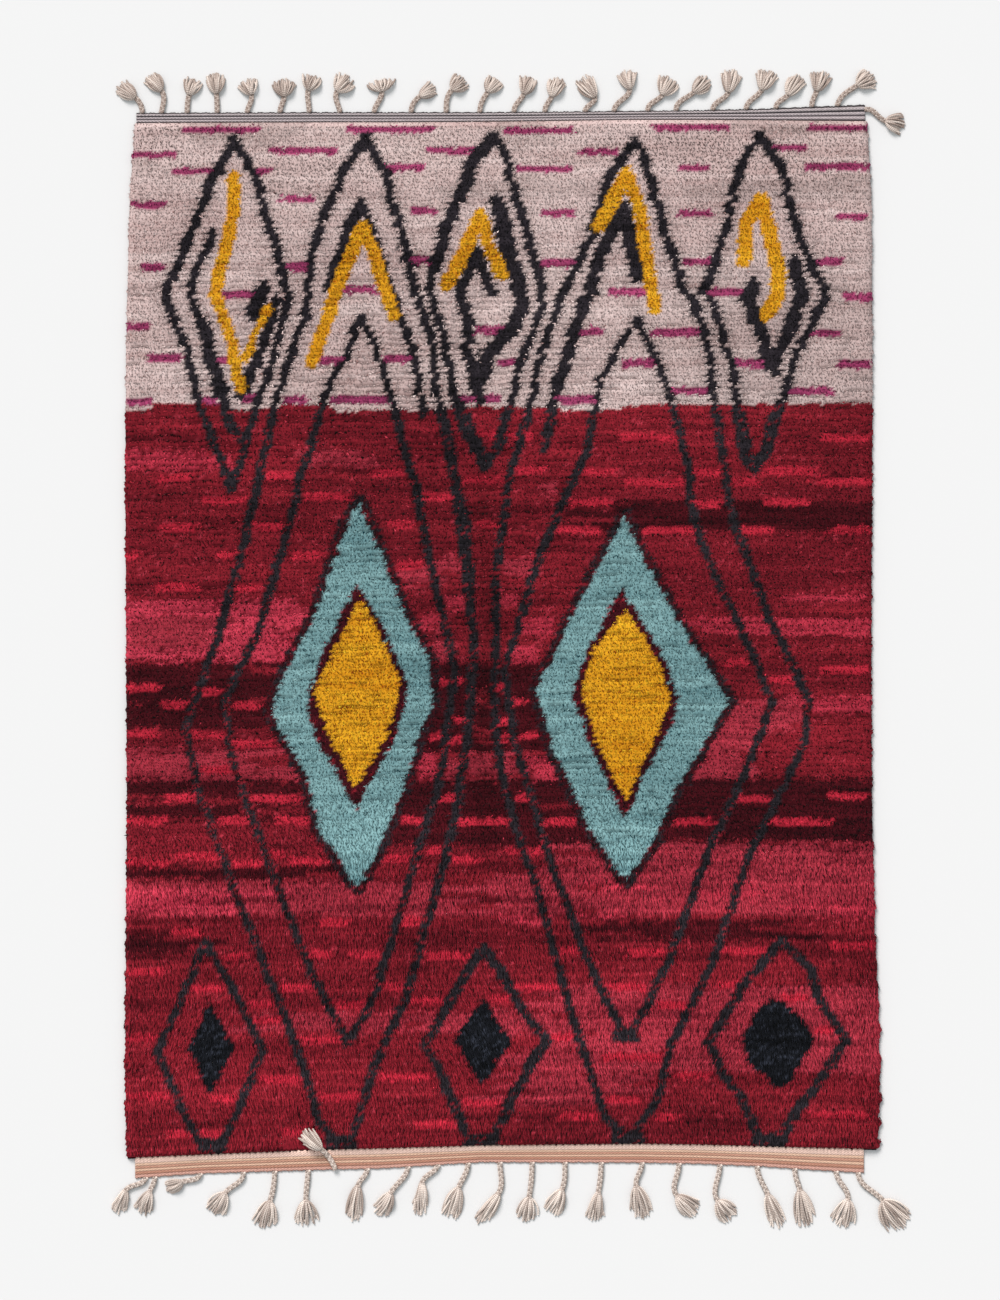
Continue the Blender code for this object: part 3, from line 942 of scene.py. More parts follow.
class Finish(Board):
    """A material that is being put together on its Principled shader."""

    def __init__(self, name, roughness, gloss, sheen=0.0):
        self.material = bpy.data.materials.new(name)
        self.material.use_nodes = True
        super().__init__(self.material.node_tree)
        self.shader = self.tree.nodes["Principled BSDF"]
        self.feed("Roughness", roughness)
        self.feed("Specular IOR Level", gloss)
        self.feed("Sheen Weight", sheen)

    def feed(self, name, value):
        if isinstance(value, Thread):
            self.tree.links.new(value.socket, self.shader.inputs[name])
        else:
            self.shader.inputs[name].default_value = value

    def places(self, stretch):
        """Object coordinates, stretched: metres times the numbers given."""
        where = self.node("ShaderNodeTexCoord", output="Object")
        return self.node("ShaderNodeMapping", {}, {"Vector": where, "Scale": stretch})

    def noise(self, stretch, detail=2.0, roughness=0.6):
        sockets = {"Vector": self.places(stretch), "Scale": 1.0, "Detail": detail, "Roughness": roughness}
        return self.node("ShaderNodeTexNoise", {}, sockets, output="Fac")

    def own(self, attribute, output="Fac"):
        """A value or a colour that the piece's own mesh carries."""
        return self.node("ShaderNodeAttribute", {"attribute_name": attribute}, {}, output=output)

    def shade(self, colour, amount):
        """The colour times an amount."""
        grey = self.node("ShaderNodeCombineColor", {}, {0: amount, 1: amount, 2: amount})
        return self.node(
            "ShaderNodeMix", {"data_type": "RGBA", "blend_type": "MULTIPLY"}, {0: 1.0, 6: colour, 7: grey}, output=2
        )

    def blend(self, factor, first, second):
        return self.node("ShaderNodeMix", {"data_type": "RGBA"}, {0: factor, 6: first, 7: second}, output=2)

    def raise_by(self, height, distance, strength=1.0):
        bump = self.node("ShaderNodeBump", {}, {"Height": height, "Distance": distance, "Strength": strength})
        self.feed("Normal", bump)


def pile_finish():
    """Wool pile: each knot in its own yarn, with painted shade darkening its root, and fine fibres along it."""
    finish = Finish("knotted wool pile", 0.95, gloss=0.06, sheen=0.04)
    fibres = finish.noise((400, 170, 300), 3.0, 0.7)
    share = finish.own("share")
    lit = 0.86 + 0.20 * share
    speckle = 0.30 + 1.5 * fibres
    finish.feed("Base Color", finish.shade(finish.own("yarn", "Color"), lit * speckle))
    finish.raise_by(fibres, 0.0012, 0.8)
    return finish.material


def ground_finish():
    """The woven ground: the backs of the knots between its wefts."""
    finish = Finish("woven ground", 0.9, gloss=0.15)
    slubs = finish.noise((260, 900, 260), 2.0)
    where = {"Vector": finish.places((1, 1, 1)), "Scale": 22.0}
    wefts = finish.node("ShaderNodeTexWave", {"bands_direction": "Y"}, where)
    finish.feed("Base Color", finish.shade(finish.own("yarn", "Color"), 0.7 + 0.6 * slubs))
    finish.raise_by(wefts + slubs, 0.0008, 0.7)
    return finish.material


def band_finish(name):
    """A flatwoven band: its own stripes, with the small dots of the weft over the warp."""
    finish = Finish(name, 0.9, gloss=0.18, sheen=0.08)
    dots = finish.noise((360, 420, 360), 2.0, 0.65)
    along = {0: finish.places((740.0, 1400.0, 0.0)), 1: (1.0, 1.0, 0.0)}
    slant = finish.node("ShaderNodeVectorMath", {"operation": "DOT_PRODUCT"}, along, output="Value")
    ply = finish.node("ShaderNodeMath", {"operation": "SINE"}, {0: slant})
    finish.feed("Base Color", finish.shade(finish.own("yarn", "Color"), 0.50 + 1.00 * dots + 0.26 * ply))
    finish.raise_by(dots + 0.5 * ply, 0.0009, 0.8)
    return finish.material


def warp_finish():
    """Plied warp yarn: pale wool with a twist along each strand."""
    finish = Finish("plied warp yarn", 0.88, gloss=0.2, sheen=0.1)
    along = finish.own("along") * 1500.0
    side_x = finish.node("ShaderNodeSeparateXYZ", {}, {0: finish.own("side", "Vector")}, output="X")
    side_y = finish.node("ShaderNodeSeparateXYZ", {}, {0: finish.own("side", "Vector")}, output="Y")
    sine = finish.node("ShaderNodeMath", {"operation": "SINE"}, {0: along})
    cosine = finish.node("ShaderNodeMath", {"operation": "COSINE"}, {0: along})
    twist = sine * side_x + cosine * side_y
    fuzz = finish.noise((500, 500, 500), 2.0)
    colour = finish.blend(finish.own("tone"), *((*linear(tone), 1.0) for tone in WARP_TONES))
    finish.feed("Base Color", finish.shade(colour, 0.62 + 0.5 * fuzz + 0.2 * twist))
    finish.raise_by(twist, 0.0005, 0.8)
    return finish.material


def new_tree(name, wants):
    """A Geometry Nodes tree with named inputs. Gives the board, the input outputs by name, and their identifiers."""
    tree = bpy.data.node_groups.new(name, "GeometryNodeTree")
    tree.interface.new_socket("Geometry", in_out="INPUT", socket_type="NodeSocketGeometry")
    tree.interface.new_socket("Geometry", in_out="OUTPUT", socket_type="NodeSocketGeometry")
    identifiers = {}
    for label, kind in wants.items():
        socket = tree.interface.new_socket(label, in_out="INPUT", socket_type=kind)
        identifiers[label] = socket.identifier
    board = Board(tree)
    entry = tree.nodes.new("NodeGroupInput")
    inputs = {socket.name: Thread(board, socket) for socket in entry.outputs if socket.name}
    return board, inputs, identifiers


def finish_tree(board, shape, finish):
    """The last nodes of a tree: its instances made real and its finish put on."""
    real = board.node("GeometryNodeRealizeInstances", {}, {"Geometry": shape})
    smooth = board.node("GeometryNodeSetShadeSmooth", {}, {"Geometry": real})
    done = board.node("GeometryNodeSetMaterial", {}, {"Geometry": smooth, "Material": finish})
    board.tree.links.new(done.socket, board.tree.nodes.new("NodeGroupOutput").inputs[0])


def own_value(board, name, kind):
    return board.node("GeometryNodeInputNamedAttribute", {"data_type": kind}, {"Name": name})


def laid_pile_tree(finish):
    """Ties one strand to every knot, turned and sized as the knot says, with some chance in both."""
    wants = {
        "Strand": "NodeSocketObject",
        "Turn scatter": "NodeSocketVector",
        "Size scatter": "NodeSocketFloat",
        "Seed": "NodeSocketInt",
    }
    board, inputs, identifiers = new_tree("laid pile", wants)
    strand = board.node("GeometryNodeObjectInfo", {}, {"Object": inputs["Strand"]}, output="Geometry")
    back = board.node("ShaderNodeVectorMath", {"operation": "SCALE"}, {0: inputs["Turn scatter"], "Scale": -1.0})
    turns = board.node(
        "FunctionNodeRandomValue",
        {"data_type": "FLOAT_VECTOR"},
        {0: back, 1: inputs["Turn scatter"], "Seed": inputs["Seed"]},
    )
    own_lay = own_value(board, "lay", "FLOAT_VECTOR")
    lay = board.node("ShaderNodeVectorMath", {"operation": "ADD"}, {0: own_lay, 1: turns})
    least = 1.0 - inputs["Size scatter"]
    most = 1.0 + inputs["Size scatter"]
    factor = board.node(
        "FunctionNodeRandomValue", {"data_type": "FLOAT"}, {2: least, 3: most, "Seed": inputs["Seed"]}, output=1
    )
    size = board.node(
        "ShaderNodeVectorMath", {"operation": "SCALE"}, {0: own_value(board, "size", "FLOAT_VECTOR"), "Scale": factor}
    )
    tied = board.node(
        "GeometryNodeInstanceOnPoints",
        {},
        {"Points": inputs["Geometry"], "Instance": strand, "Rotation": lay, "Scale": size},
    )
    finish_tree(board, tied, finish)
    return board.tree, identifiers


def yarn_tree(finish):
    """Makes a round yarn along every path, as thick as the path says, with a place on it for the twist."""
    wants = {"Sides": "NodeSocketInt"}
    board, inputs, identifiers = new_tree("yarn along a path", wants)
    path = board.node("GeometryNodeMeshToCurve", {}, {"Mesh": inputs["Geometry"]})
    length = board.node("GeometryNodeSplineParameter", output="Length")
    path = board.node(
        "GeometryNodeStoreNamedAttribute", {"data_type": "FLOAT"}, {"Geometry": path, "Name": "along", "Value": length}
    )
    ring = board.node("GeometryNodeCurvePrimitiveCircle", {}, {"Resolution": inputs["Sides"], "Radius": 1.0})
    place = board.node("GeometryNodeInputPosition")
    ring = board.node(
        "GeometryNodeStoreNamedAttribute",
        {"data_type": "FLOAT_VECTOR"},
        {"Geometry": ring, "Name": "side", "Value": place},
    )
    girth = own_value(board, "girth", "FLOAT")
    tube = board.node(
        "GeometryNodeCurveToMesh", {}, {"Curve": path, "Profile Curve": ring, "Scale": girth, "Fill Caps": True}
    )
    finish_tree(board, tube, finish)
    return board.tree, identifiers


def linked(name, mesh):
    piece = bpy.data.objects.new(name, mesh)
    bpy.context.collection.objects.link(piece)
    return piece


def carried(mesh, name, kind, values, domain="POINT"):
    """Stores values on a mesh under a name."""
    attribute = mesh.attributes.new(name, kind, domain)
    key = {"FLOAT": "value", "FLOAT_VECTOR": "vector", "FLOAT_COLOR": "color"}[kind]
    attribute.data.foreach_set(key, np.ascontiguousarray(values, dtype=np.float32).ravel())


def grown(name, source, tree, identifiers, values):
    """Runs a tree on a source mesh and gives the result as a plain piece."""
    modifier = source.modifiers.new(tree.name, "NODES")
    modifier.node_group = tree
    for label, value in values.items():
        modifier[identifiers[label]] = value
    bpy.context.view_layer.update()
    graph = bpy.context.evaluated_depsgraph_get()
    mesh = bpy.data.meshes.new_from_object(
        source.evaluated_get(graph), preserve_all_data_layers=True, depsgraph=graph
    )
    mesh.name = name
    source.modifiers.remove(modifier)
    bpy.data.objects.remove(source, do_unlink=True)
    return linked(name, mesh)


def rim_gap(x, y):
    """How far a place is from the nearest edge of the field."""
    sides = np.minimum(x - side(y, "left"), side(y, "right") - x)
    return np.minimum(sides, np.minimum(y - across(x, "foot_seam"), across(x, "head_seam") - y))


def combed_share(plan_y):
    """How far the pile is long and combed down the rug, from 0 in its upper part to 1 near its lower end."""
    return ramp(plan_y, *COMBED)


def open_rows(line, plan_x, plan_y):
    """How wide the gap before a row stands open, from 0 to 1. Odd lines are the middles of rows."""
    chance = np.random.default_rng(SEEDS["open rows"])
    row = np.minimum(line // 2, PILE_ROWS - 1)
    here = wander(uneven(chance, 13, 1), row, plan_x)
    often = wander(uneven(chance, 160, 14), row, plan_x)
    loose = graded(LOOSE_ROWS, plan_y)
    strong = np.clip((here + 0.5 * often - 1.1 + 1.5 * loose) / 0.8, 0, 1)
    return (0.12 + 0.88 * strong * np.clip(2.2 * loose, 0, 1)) * (line % 2 == 0)


def parting(plan_x, plan_y):
    """How strongly the pile parts along the old fold in the middle of the rug, from 0 to 1."""
    away = plan_x - FOLD["x"] + FOLD["sway"] * np.sin(plan_y / 37)
    near = np.exp(-((away / FOLD["half"]) ** 2))
    return near * ramp(plan_y, FOLD["top"], FOLD["full"]) * ramp(plan_y, FOLD["bottom"], FOLD["low"])


def body_top(x, y, gap):
    """Height of the pile's body, on which its loose tips lie. gap is how far the rows stand apart there."""
    t = np.clip(rim_gap(x, y) / RIM_SLOPE, 0, 1)
    inside = t * (2 - t)
    full = PILE_HEIGHT - BODY_BELOW_TIPS + LUMP_HEIGHT * lump(x, y) - GROOVE_DEPTH * gap
    full = full - PRESSED["depth"] * pressed(x, y) - FOLD_DEPTH * parting(*on_plan(x, y))
    rim = PILE_RIM_HEIGHT - BODY_BELOW_TIPS
    return rim + (full - rim) * inside


def one_strand():
    """The loose tip of a strand, one unit long and wide: it leaves the body at its root and lies down the rug."""
    points, shares, places = [], [], []
    for k in range(3):
        turn = math.radians(90 + 120 * k)
        points.append((0.58 * math.cos(turn), 0.0, 0.4 * math.sin(turn) - 0.35))
        shares.append(0.0)
        places.append((0.46 * math.cos(turn), 0.46 * math.sin(turn), 0))
    points.append((0.0, -1.0, 1.0))
    shares.append(1.0)
    places.append((0, 0, 0))
    faces = [(k, (k + 1) % 3, 3) for k in range(3)]
    mesh = bpy.data.meshes.new("strand")
    mesh.from_pydata(points, [], faces)
    carried(mesh, "share", "FLOAT", shares)
    carried(mesh, "ring", "FLOAT_VECTOR", places)
    return linked("strand", mesh)


def knots():
    """Every strand's root, lie, size and colour, from the lower end. Every second line lies between two rows."""
    chance = np.random.default_rng(SEEDS["knots"])
    lines = 2 * PILE_ROWS
    line, column = np.meshgrid(np.arange(lines), np.arange(STRANDS_ACROSS), indexing="ij")
    line, column = line.ravel(), column.ravel()
    row = line // 2
    groove = line % 2 == 0
    stagger = np.where(groove, 0.25, -0.25) + np.where(row % 2, 0.12, -0.12)
    u = (column + 0.5 + stagger + chance.uniform(-0.4, 0.4, line.shape)) / STRANDS_ACROSS
    u = np.clip(u, 0.0012, 0.9988)
    x, y = field_point(u, (line + 0.35) / lines)
    y = y + chance.uniform(-0.0016, 0.0016, x.shape)
    plan_x, plan_y = on_plan(x, y)
    yarn, pink_puff_shading = choose_yarns(plan_x, plan_y, row, groove)
    part, combed = parting(plan_x, plan_y), combed_share(plan_y)
    gap = open_rows(line, plan_x, plan_y) * np.where(yarn == CODES["mustard"], 0.5, 1.0)
    head_gap, foot_gap = across(x, "head_seam") - y, y - across(x, "foot_seam")
    # Pink wool beside a charcoal line: painted shade between its rows and a painted highlight on them.
    colour = dye(yarn, plan_x, plan_y, row, 0.46) * (1 + pink_puff_shading * np.where(groove, -0.7, 0.38))[:, None]
    # Painted shade along the old fold and in the open gaps between rows. The short upper pile is painted darker
    # and the long lower pile paler: painted shade and light that even out how much their strands shade each other.
    colour *= ((1 - 0.25 * part - 0.3 * gap) * (0.78 + 0.32 * combed))[:, None]
    # Darker within 10 mm of the head seam.
    colour *= (1 - 0.22 * np.clip(1 - head_gap / 0.010, 0, 1))[:, None]
    size = strand_sizes(x, y, gap, combed, chance)
    root_y = y + 0.45 * size[:, 1] + 1.4 * LOOP_REACH * np.clip(1 - foot_gap / 0.01, 0, 1)
    root_y = np.minimum(root_y, across(x, "head_seam") - 0.0008)
    lay = strand_lies(x, y, row, part, combed, chance)
    height = body_top(x, root_y, gap) - 0.0002
    root = np.column_stack((x + row_bulge(line, u), root_y, height))
    return {"line": line, "u": u, "root": root, "lay": lay, "size": size, "colour": colour}


def strand_sizes(x, y, gap, combed, chance):
    """Each strand's width, length and rise: longer where the pile is combed, shorter in its gaps and at its edges."""
    edge = np.clip(1 - rim_gap(x, y) / RIM_SLOPE, 0, 1)
    foot_gap = y - across(x, "foot_seam")
    length = np.clip(0.55 + foot_gap / 0.03, 0.55, 1.0) * (1 + 0.22 * chance.normal(size=x.shape))
    length = STRAND_LENGTH * np.clip(length, 0.4, 1.6) * (0.5 + 0.6 * combed) * (1 - 0.6 * gap) * (1 - 0.4 * edge)
    rise = STRAND_RISE * np.clip(1 + 0.25 * chance.normal(size=x.shape), 0.4, 1.8) * (1 - 0.5 * pressed(x, y))
    rise *= (0.72 + 0.28 * combed) * (1 - 0.6 * gap)
    wide = STRAND_WIDTH * np.clip(1 + 0.15 * chance.normal(size=x.shape), 0.6, 1.5) * (1.0 - 0.32 * combed)
    return np.column_stack((wide, length, rise))


def strand_lies(x, y, row, part, combed, chance):
    """How each strand leans and turns: outwards at the sides, away from the old fold, and any way in short pile."""
    plan_x = on_plan(x, y)[0]
    turn = 0.16 * wander(uneven(chance, 60, 7), row, plan_x)
    left_rim = np.clip(1 - (x - side(y, "left")) / RIM_SLOPE, 0, 1)
    right_rim = np.clip(1 - (side(y, "right") - x) / RIM_SLOPE, 0, 1)
    turn += (1 - combed) * chance.normal(0, 1.1, x.shape)
    turn -= 0.6 * (left_rim - right_rim) * chance.uniform(0.4, 1.0, x.shape)
    turn += 0.55 * part * np.sign(plan_x - 489)
    return np.column_stack((0.35 * (left_rim + right_rim), np.zeros(x.shape), turn))


def row_bulge(line, share):
    """How far each row pushes the pile's long sides outwards: to the left for the left side.

    Near the lower end the edge comes out in teeth of some rows each.
    """
    chance = np.random.default_rng(SEEDS["sides"])
    steps = np.arange(2 * PILE_ROWS + 2)
    reach = 0.005 * chance.random((2, len(steps))) ** 1.5
    reach[:, ::2] *= 0.15
    low = np.clip(1 - steps / 130, 0, 1)
    teeth = np.array([(steps + shift + 3 * np.sin(steps / 9)) % pitch / pitch for shift, pitch in ((0, 11), (5, 9))])
    reach += low * np.array([[0.004], [0.0095]]) * teeth**2
    left, right = np.clip(1 - share / 0.006, 0, 1), np.clip(1 - (1 - share) / 0.006, 0, 1)
    return right * reach[1][line] - left * reach[0][line]


def pile_body(finish):
    """The body of the pile, under its loose tips: a lumpy closed slab on the ground, grooved between its rows."""
    us = np.linspace(0, 1, BODY_COLUMNS + 1)
    us = np.concatenate(([0, 0.003], us[1:-1], [0.997, 1]))
    lines = 2 * PILE_ROWS
    grid_u, grid_v = np.meshgrid(us, np.arange(lines + 1) / lines)
    x, y = field_point(grid_u, grid_v)
    rows, columns = x.shape
    line = np.repeat(np.arange(rows), columns).reshape(rows, columns)
    x = x + row_bulge(line, grid_u)
    y = y + 0.8 * LOOP_REACH * np.clip(1 - line / 3, 0, 1)
    gap = open_rows(line, *on_plan(x, y))
    top = np.column_stack((x.ravel(), y.ravel(), body_top(x, y, gap).ravel()))
    row = np.minimum(line // 2, PILE_ROWS - 1).ravel()
    groove = line.ravel() % 2 == 0
    plan_x, plan_y = on_plan(x.ravel(), y.ravel())
    yarn, pink_puff_shading = choose_yarns(plan_x, plan_y, row, groove)
    # Painted shade in the grooves of pink wool beside a charcoal line.
    colour = dye(yarn, plan_x, plan_y, row, 0.08) * (1 - 0.65 * pink_puff_shading * groove)[:, None]
    # Painted shade in the open gaps between rows and along the old fold, and the same painted zone shading as the
    # knots.
    colour *= ((1 - 0.5 * gap.ravel() - 0.3 * parting(plan_x, plan_y)) * (0.78 + 0.32 * combed_share(plan_y)))[:, None]
    mesh, border, _ = slab("pile_body", top, rows, columns, GROUND_TOP, upward=True)
    mesh.materials.append(finish)
    mesh.shade_smooth()
    shade = np.ones((len(top) + len(border), 4), np.float32)
    shade[: len(top), :3] = colour
    # The slab's sides in painted shade, at half the colour of its top.
    shade[len(top) :, :3] = 0.5 * colour[border]
    carried(mesh, "yarn", "FLOAT_COLOR", shade)
    # The top reads as part way up a strand and the sides as roots, for the painted shade of the pile's finish.
    carried(mesh, "share", "FLOAT", np.where(np.arange(len(shade)) < len(top), 0.6, 0.0))
    bake_map(mesh, slab_map(grid_u, grid_v, border), rows - 1)
    return linked("pile_body", mesh)


def slab(name, front, rows, columns, back_level, upward):
    """A thin closed slab from a grid of points on its front: small faces there, and one for each row on its back.

    Gives its mesh, the border's points and all its faces. The front faces up or down.
    """
    faces = []
    for j in range(rows - 1):
        for i in range(columns - 1):
            first = j * columns + i
            faces.append((first, first + 1, first + columns + 1, first + columns))
    border = [j * columns + i for j, i in ring_of(rows, columns)]
    back_of = {place: len(front) + k for k, place in enumerate(border)}
    points = [tuple(p) for p in front] + [(front[place][0], front[place][1], back_level) for place in border]
    for here, after in zip(border, border[1:] + border[:1]):
        faces.append((here, back_of[here], back_of[after], after))
    if not upward:
        faces = [ring[:1] + ring[:0:-1] for ring in faces]
    strips = closing_strips(back_of, rows, columns)
    faces += [ring[::-1] for ring in strips] if upward else strips
    mesh = bpy.data.meshes.new(name)
    mesh.from_pydata(points, [], faces)
    return mesh, border, faces


def closing_strips(edge_of, rows, columns):
    """Closes a grid's other side with one face for each row, from its border points alone, facing up."""
    last = columns - 1
    strips = []
    for j in range(rows - 1):
        ring = [edge_of[j * columns + last], edge_of[(j + 1) * columns + last]]
        if j == rows - 2:
            ring += [edge_of[(rows - 1) * columns + i] for i in range(last - 1, 0, -1)]
        ring += [edge_of[(j + 1) * columns], edge_of[j * columns]]
        if j == 0:
            ring += [edge_of[i] for i in range(1, last)]
        strips.append(tuple(ring))
    return strips


def pile_piece(number, chosen, knot, strand, tree, identifiers):
    """One piece of the pile: the knots of some rows."""
    name = f"pile_{number}"
    source = bpy.data.meshes.new(name + "_knots")
    source.from_pydata(knot["root"][chosen].tolist(), [], [])
    count = int(chosen.sum())
    carried(source, "lay", "FLOAT_VECTOR", knot["lay"][chosen])
    carried(source, "size", "FLOAT_VECTOR", knot["size"][chosen])
    carried(source, "yarn", "FLOAT_COLOR", np.column_stack((knot["colour"][chosen], np.ones(count))))
    lines = knot["line"][chosen]
    first, last = lines.min(), lines.max()
    place = np.column_stack(
        (knot["u"][chosen], (lines - first + 0.5) / (last - first + 1), np.zeros(count))
    )
    carried(source, "place", "FLOAT_VECTOR", place)
    seed = SEEDS["strands"] + number
    values = {"Strand": strand, "Turn scatter": TURN_SCATTER, "Size scatter": SIZE_SCATTER, "Seed": seed}
    piece = grown(name, linked(name + "_knots", source), tree, identifiers, values)
    mesh = piece.data
    total = len(mesh.vertices)
    read_back = {}
    for attribute in ("place", "ring"):
        flat = np.empty(total * 3, np.float32)
        mesh.attributes[attribute].data.foreach_get("vector", flat)
        read_back[attribute] = flat.reshape(-1, 3)
    cell = np.array((1 / STRANDS_ACROSS, 1 / (last - first + 1)))
    flat_map = read_back["place"][:, :2] + read_back["ring"][:, :2] * cell
    bake_map(mesh, np.clip(flat_map, 0, 1))
    for attribute in ("place", "ring", "lay", "size"):
        mesh.attributes.remove(mesh.attributes[attribute])
    return piece


def bake_map(mesh, flat_map, hidden=0):
    """Gives a mesh its flat map, from one place for each point. The last faces, hidden of them, share a tiny corner."""
    corners = np.empty(len(mesh.loops), np.int32)
    mesh.loops.foreach_get("vertex_index", corners)
    places = flat_map[corners]
    if hidden:
        first = mesh.polygons[len(mesh.polygons) - hidden].loop_start
        places[first:] = 0.0004 + 0.0012 * places[first:]
    layer = mesh.uv_layers.new(name="OFBake")
    layer.uv.foreach_set("vector", places.astype(np.float32).ravel())


def slab_map(grid_u, grid_v, border):
    """The flat map of a closed slab: its patterned side, and its rim just outside that."""
    inner = np.column_stack((grid_u.ravel(), grid_v.ravel()))
    return np.vstack((0.012 + 0.976 * inner, 0.002 + 0.996 * inner[border]))


def woven_ground(finish):
    """The ground: a thin closed sheet. Its underside shows the backs of the knots, in the pattern's colours."""
    grid_u, grid_v = np.meshgrid(np.linspace(0, 1, GROUND_COLUMNS + 1), np.linspace(0, 1, PILE_ROWS + 1))
    x, y = field_point(grid_u, grid_v)
    rows, columns = x.shape
    under = np.column_stack((x.ravel(), y.ravel(), np.zeros(x.size)))
    middle_u = (grid_u[:-1, :-1] + grid_u[1:, 1:]).ravel() / 2
    middle_v = (grid_v[:-1, :-1] + grid_v[1:, 1:]).ravel() / 2
    row = np.repeat(np.arange(PILE_ROWS), GROUND_COLUMNS)
    plan_x, plan_y = on_plan(*field_point(middle_u, middle_v))
    yarn = choose_yarns(plan_x, plan_y, row, np.zeros(row.shape, bool))[0]
    mesh, border, faces = slab("woven_ground", under, rows, columns, GROUND_TOP, upward=False)
    mesh.materials.append(finish)
    shade = np.ones((len(faces), 4), np.float32)
    shade[: len(row), :3] = dye(yarn, plan_x, plan_y, row, 0.12)
    # The top and sides, under the pile, are in painted shade: half the darkest pink or maroon.
    for k in range(len(row), len(faces)):
        middle_y = np.mean([mesh.vertices[p].co.y for p in faces[k]])
        hidden = "pink" if on_plan(0, middle_y)[1] < 406 else "maroon"
        shade[k, :3] = linear(YARNS[hidden][0]) * 0.5
    lengths = [len(face) for face in faces]
    carried(mesh, "yarn", "FLOAT_COLOR", np.repeat(shade, lengths, axis=0), domain="CORNER")
    bake_map(mesh, slab_map(grid_u, grid_v, border), rows - 1)
    return linked("woven_ground", mesh)


def ring_of(rows, columns):
    """The border of a grid, against the clock as seen from above."""
    border = [(0, i) for i in range(columns)]
    border += [(j, columns - 1) for j in range(1, rows)]
    border += [(rows - 1, i) for i in range(columns - 2, -1, -1)]
    border += [(j, 0) for j in range(rows - 2, 0, -1)]
    return border


def band_profile(stripes):
    """The section of a band: its points' shares of the width, their lift, and the weft cord that each is on."""
    widths = [share for share, colour, height in stripes]
    edges = np.concatenate(([0], np.cumsum(widths))) / sum(widths)
    profile = []
    for number, (share, colour, height) in enumerate(stripes):
        low, high = edges[number], edges[number + 1]
        for part in BAND_RIB_PARTS:
            lift = height * math.sin(math.pi * part) ** 0.7 if 0 < part < 1 else 0.0
            profile.append((low + (high - low) * part, lift, number))
    return profile


def band_skin(size, outward):
    """A band's faces and their flat map, in lanes one above another, with its two ends in small rings beside them."""
    faces, places = [], []
    lanes = BAND_STATIONS // BAND_LANE
    for k in range(BAND_STATIONS - 1):
        lane, step = divmod(k, BAND_LANE)
        low_u, high_u = (0.02 + 0.97 * at / BAND_LANE for at in (step, step + 1))
        for p in range(size):
            after = (p + 1) % size
            face = (k * size + p, k * size + after, (k + 1) * size + after, (k + 1) * size + p)
            low_v, high_v = ((lane + 0.96 * at / size) / lanes for at in (p, p + 1))
            flat = ((low_u, low_v), (low_u, high_v), (high_u, high_v), (high_u, low_v))
            faces.append(face if outward < 0 else face[::-1])
            places += flat if outward < 0 else flat[::-1]
    first = tuple(range(size))
    last = tuple((BAND_STATIONS - 1) * size + p for p in range(size))
    faces += [first[::-1], last] if outward < 0 else [first, last[::-1]]
    for middle in (0.2, 0.7):
        turns = [2 * math.pi * p / size for p in range(size)]
        places += [(0.009 + 0.007 * math.cos(turn), middle + 0.007 * math.sin(turn)) for turn in turns]
    return faces, places


def woven_band(name, seam_column, edge_column, ends, stripes, finish):
    """A flatwoven band whose wefts are raised cords. The lower one's first cord is looped around the pile's edge."""
    chance = random.Random(name)
    outward = -1 if edge_column == "foot_edge" else 1
    profile = band_profile(stripes)
    wave = [chance.uniform(0, 6.28) for _ in stripes]
    points, shades = [], []
    for x in np.linspace(*ends, BAND_STATIONS):
        start = float(across(x, seam_column)) + outward * GAP
        end = float(across(x, edge_column))
        fray = 0.0007 * math.sin(x * 240 + wave[0]) + 0.0021 * abs(math.sin(x * 395 + math.sin(31 * x))) - 0.0012
        loop = abs(math.sin(math.pi * x / LOOP_PITCH + 0.6 * math.sin(23 * x))) ** 0.6
        for share, lift, number in profile:
            colour = np.array(linear(stripes[number][1]))
            twist = math.sin(x * 2 * math.pi / BAND_CORD_TWIST + wave[number] + share * 9)
            y = start + (end - start) * share
            if outward < 0 and share < LOOP_SHARE:
                y += LOOP_REACH * loop * (1 - share / LOOP_SHARE)
                lift += LOOP_LIFT * loop * (1 - share / LOOP_SHARE)
            if share > FRAY_SHARE:
                y += outward * fray * (share - FRAY_SHARE) / (1 - FRAY_SHARE)
            points.append((x, y, BAND_THICKNESS + lift * (1 + 0.22 * twist)))
            # Painted light and shade: each cord paler on the crests of its twist, and the joins between cords darker.
            shades.append((*(colour * (0.96 + 0.12 * twist) * (0.55 if lift == 0 else 1.0)), 1))
        # The band's sides, down to the floor, in painted shade.
        points += [(x, end + outward * fray, 0.0), (x, start, 0.0)]
        shades += [(*(colour * 0.7), 1)] * 2
    faces, places = band_skin(len(profile) + 2, outward)
    mesh = bpy.data.meshes.new(name)
    mesh.from_pydata(points, [], faces)
    mesh.materials.append(finish)
    mesh.shade_smooth()
    carried(mesh, "yarn", "FLOAT_COLOR", shades)
    layer = mesh.uv_layers.new(name="OFBake")
    layer.uv.foreach_set("vector", np.array(places, np.float32).ravel())
    return linked(name, mesh)


def curve_point(points, t):
    """A point and a heading on the cubic curve that four plan points give."""
    weights = ((1 - t) ** 3, 3 * t * (1 - t) ** 2, 3 * t * t * (1 - t), t**3)
    slopes = (-3 * (1 - t) ** 2, 3 * (1 - t) * (1 - 3 * t), 3 * t * (2 - 3 * t), 3 * t * t)
    at = sum(w * p for w, p in zip(weights, points))
    way = sum(s * p for s, p in zip(slopes, points))
    return at, math.atan2(way[1], way[0])


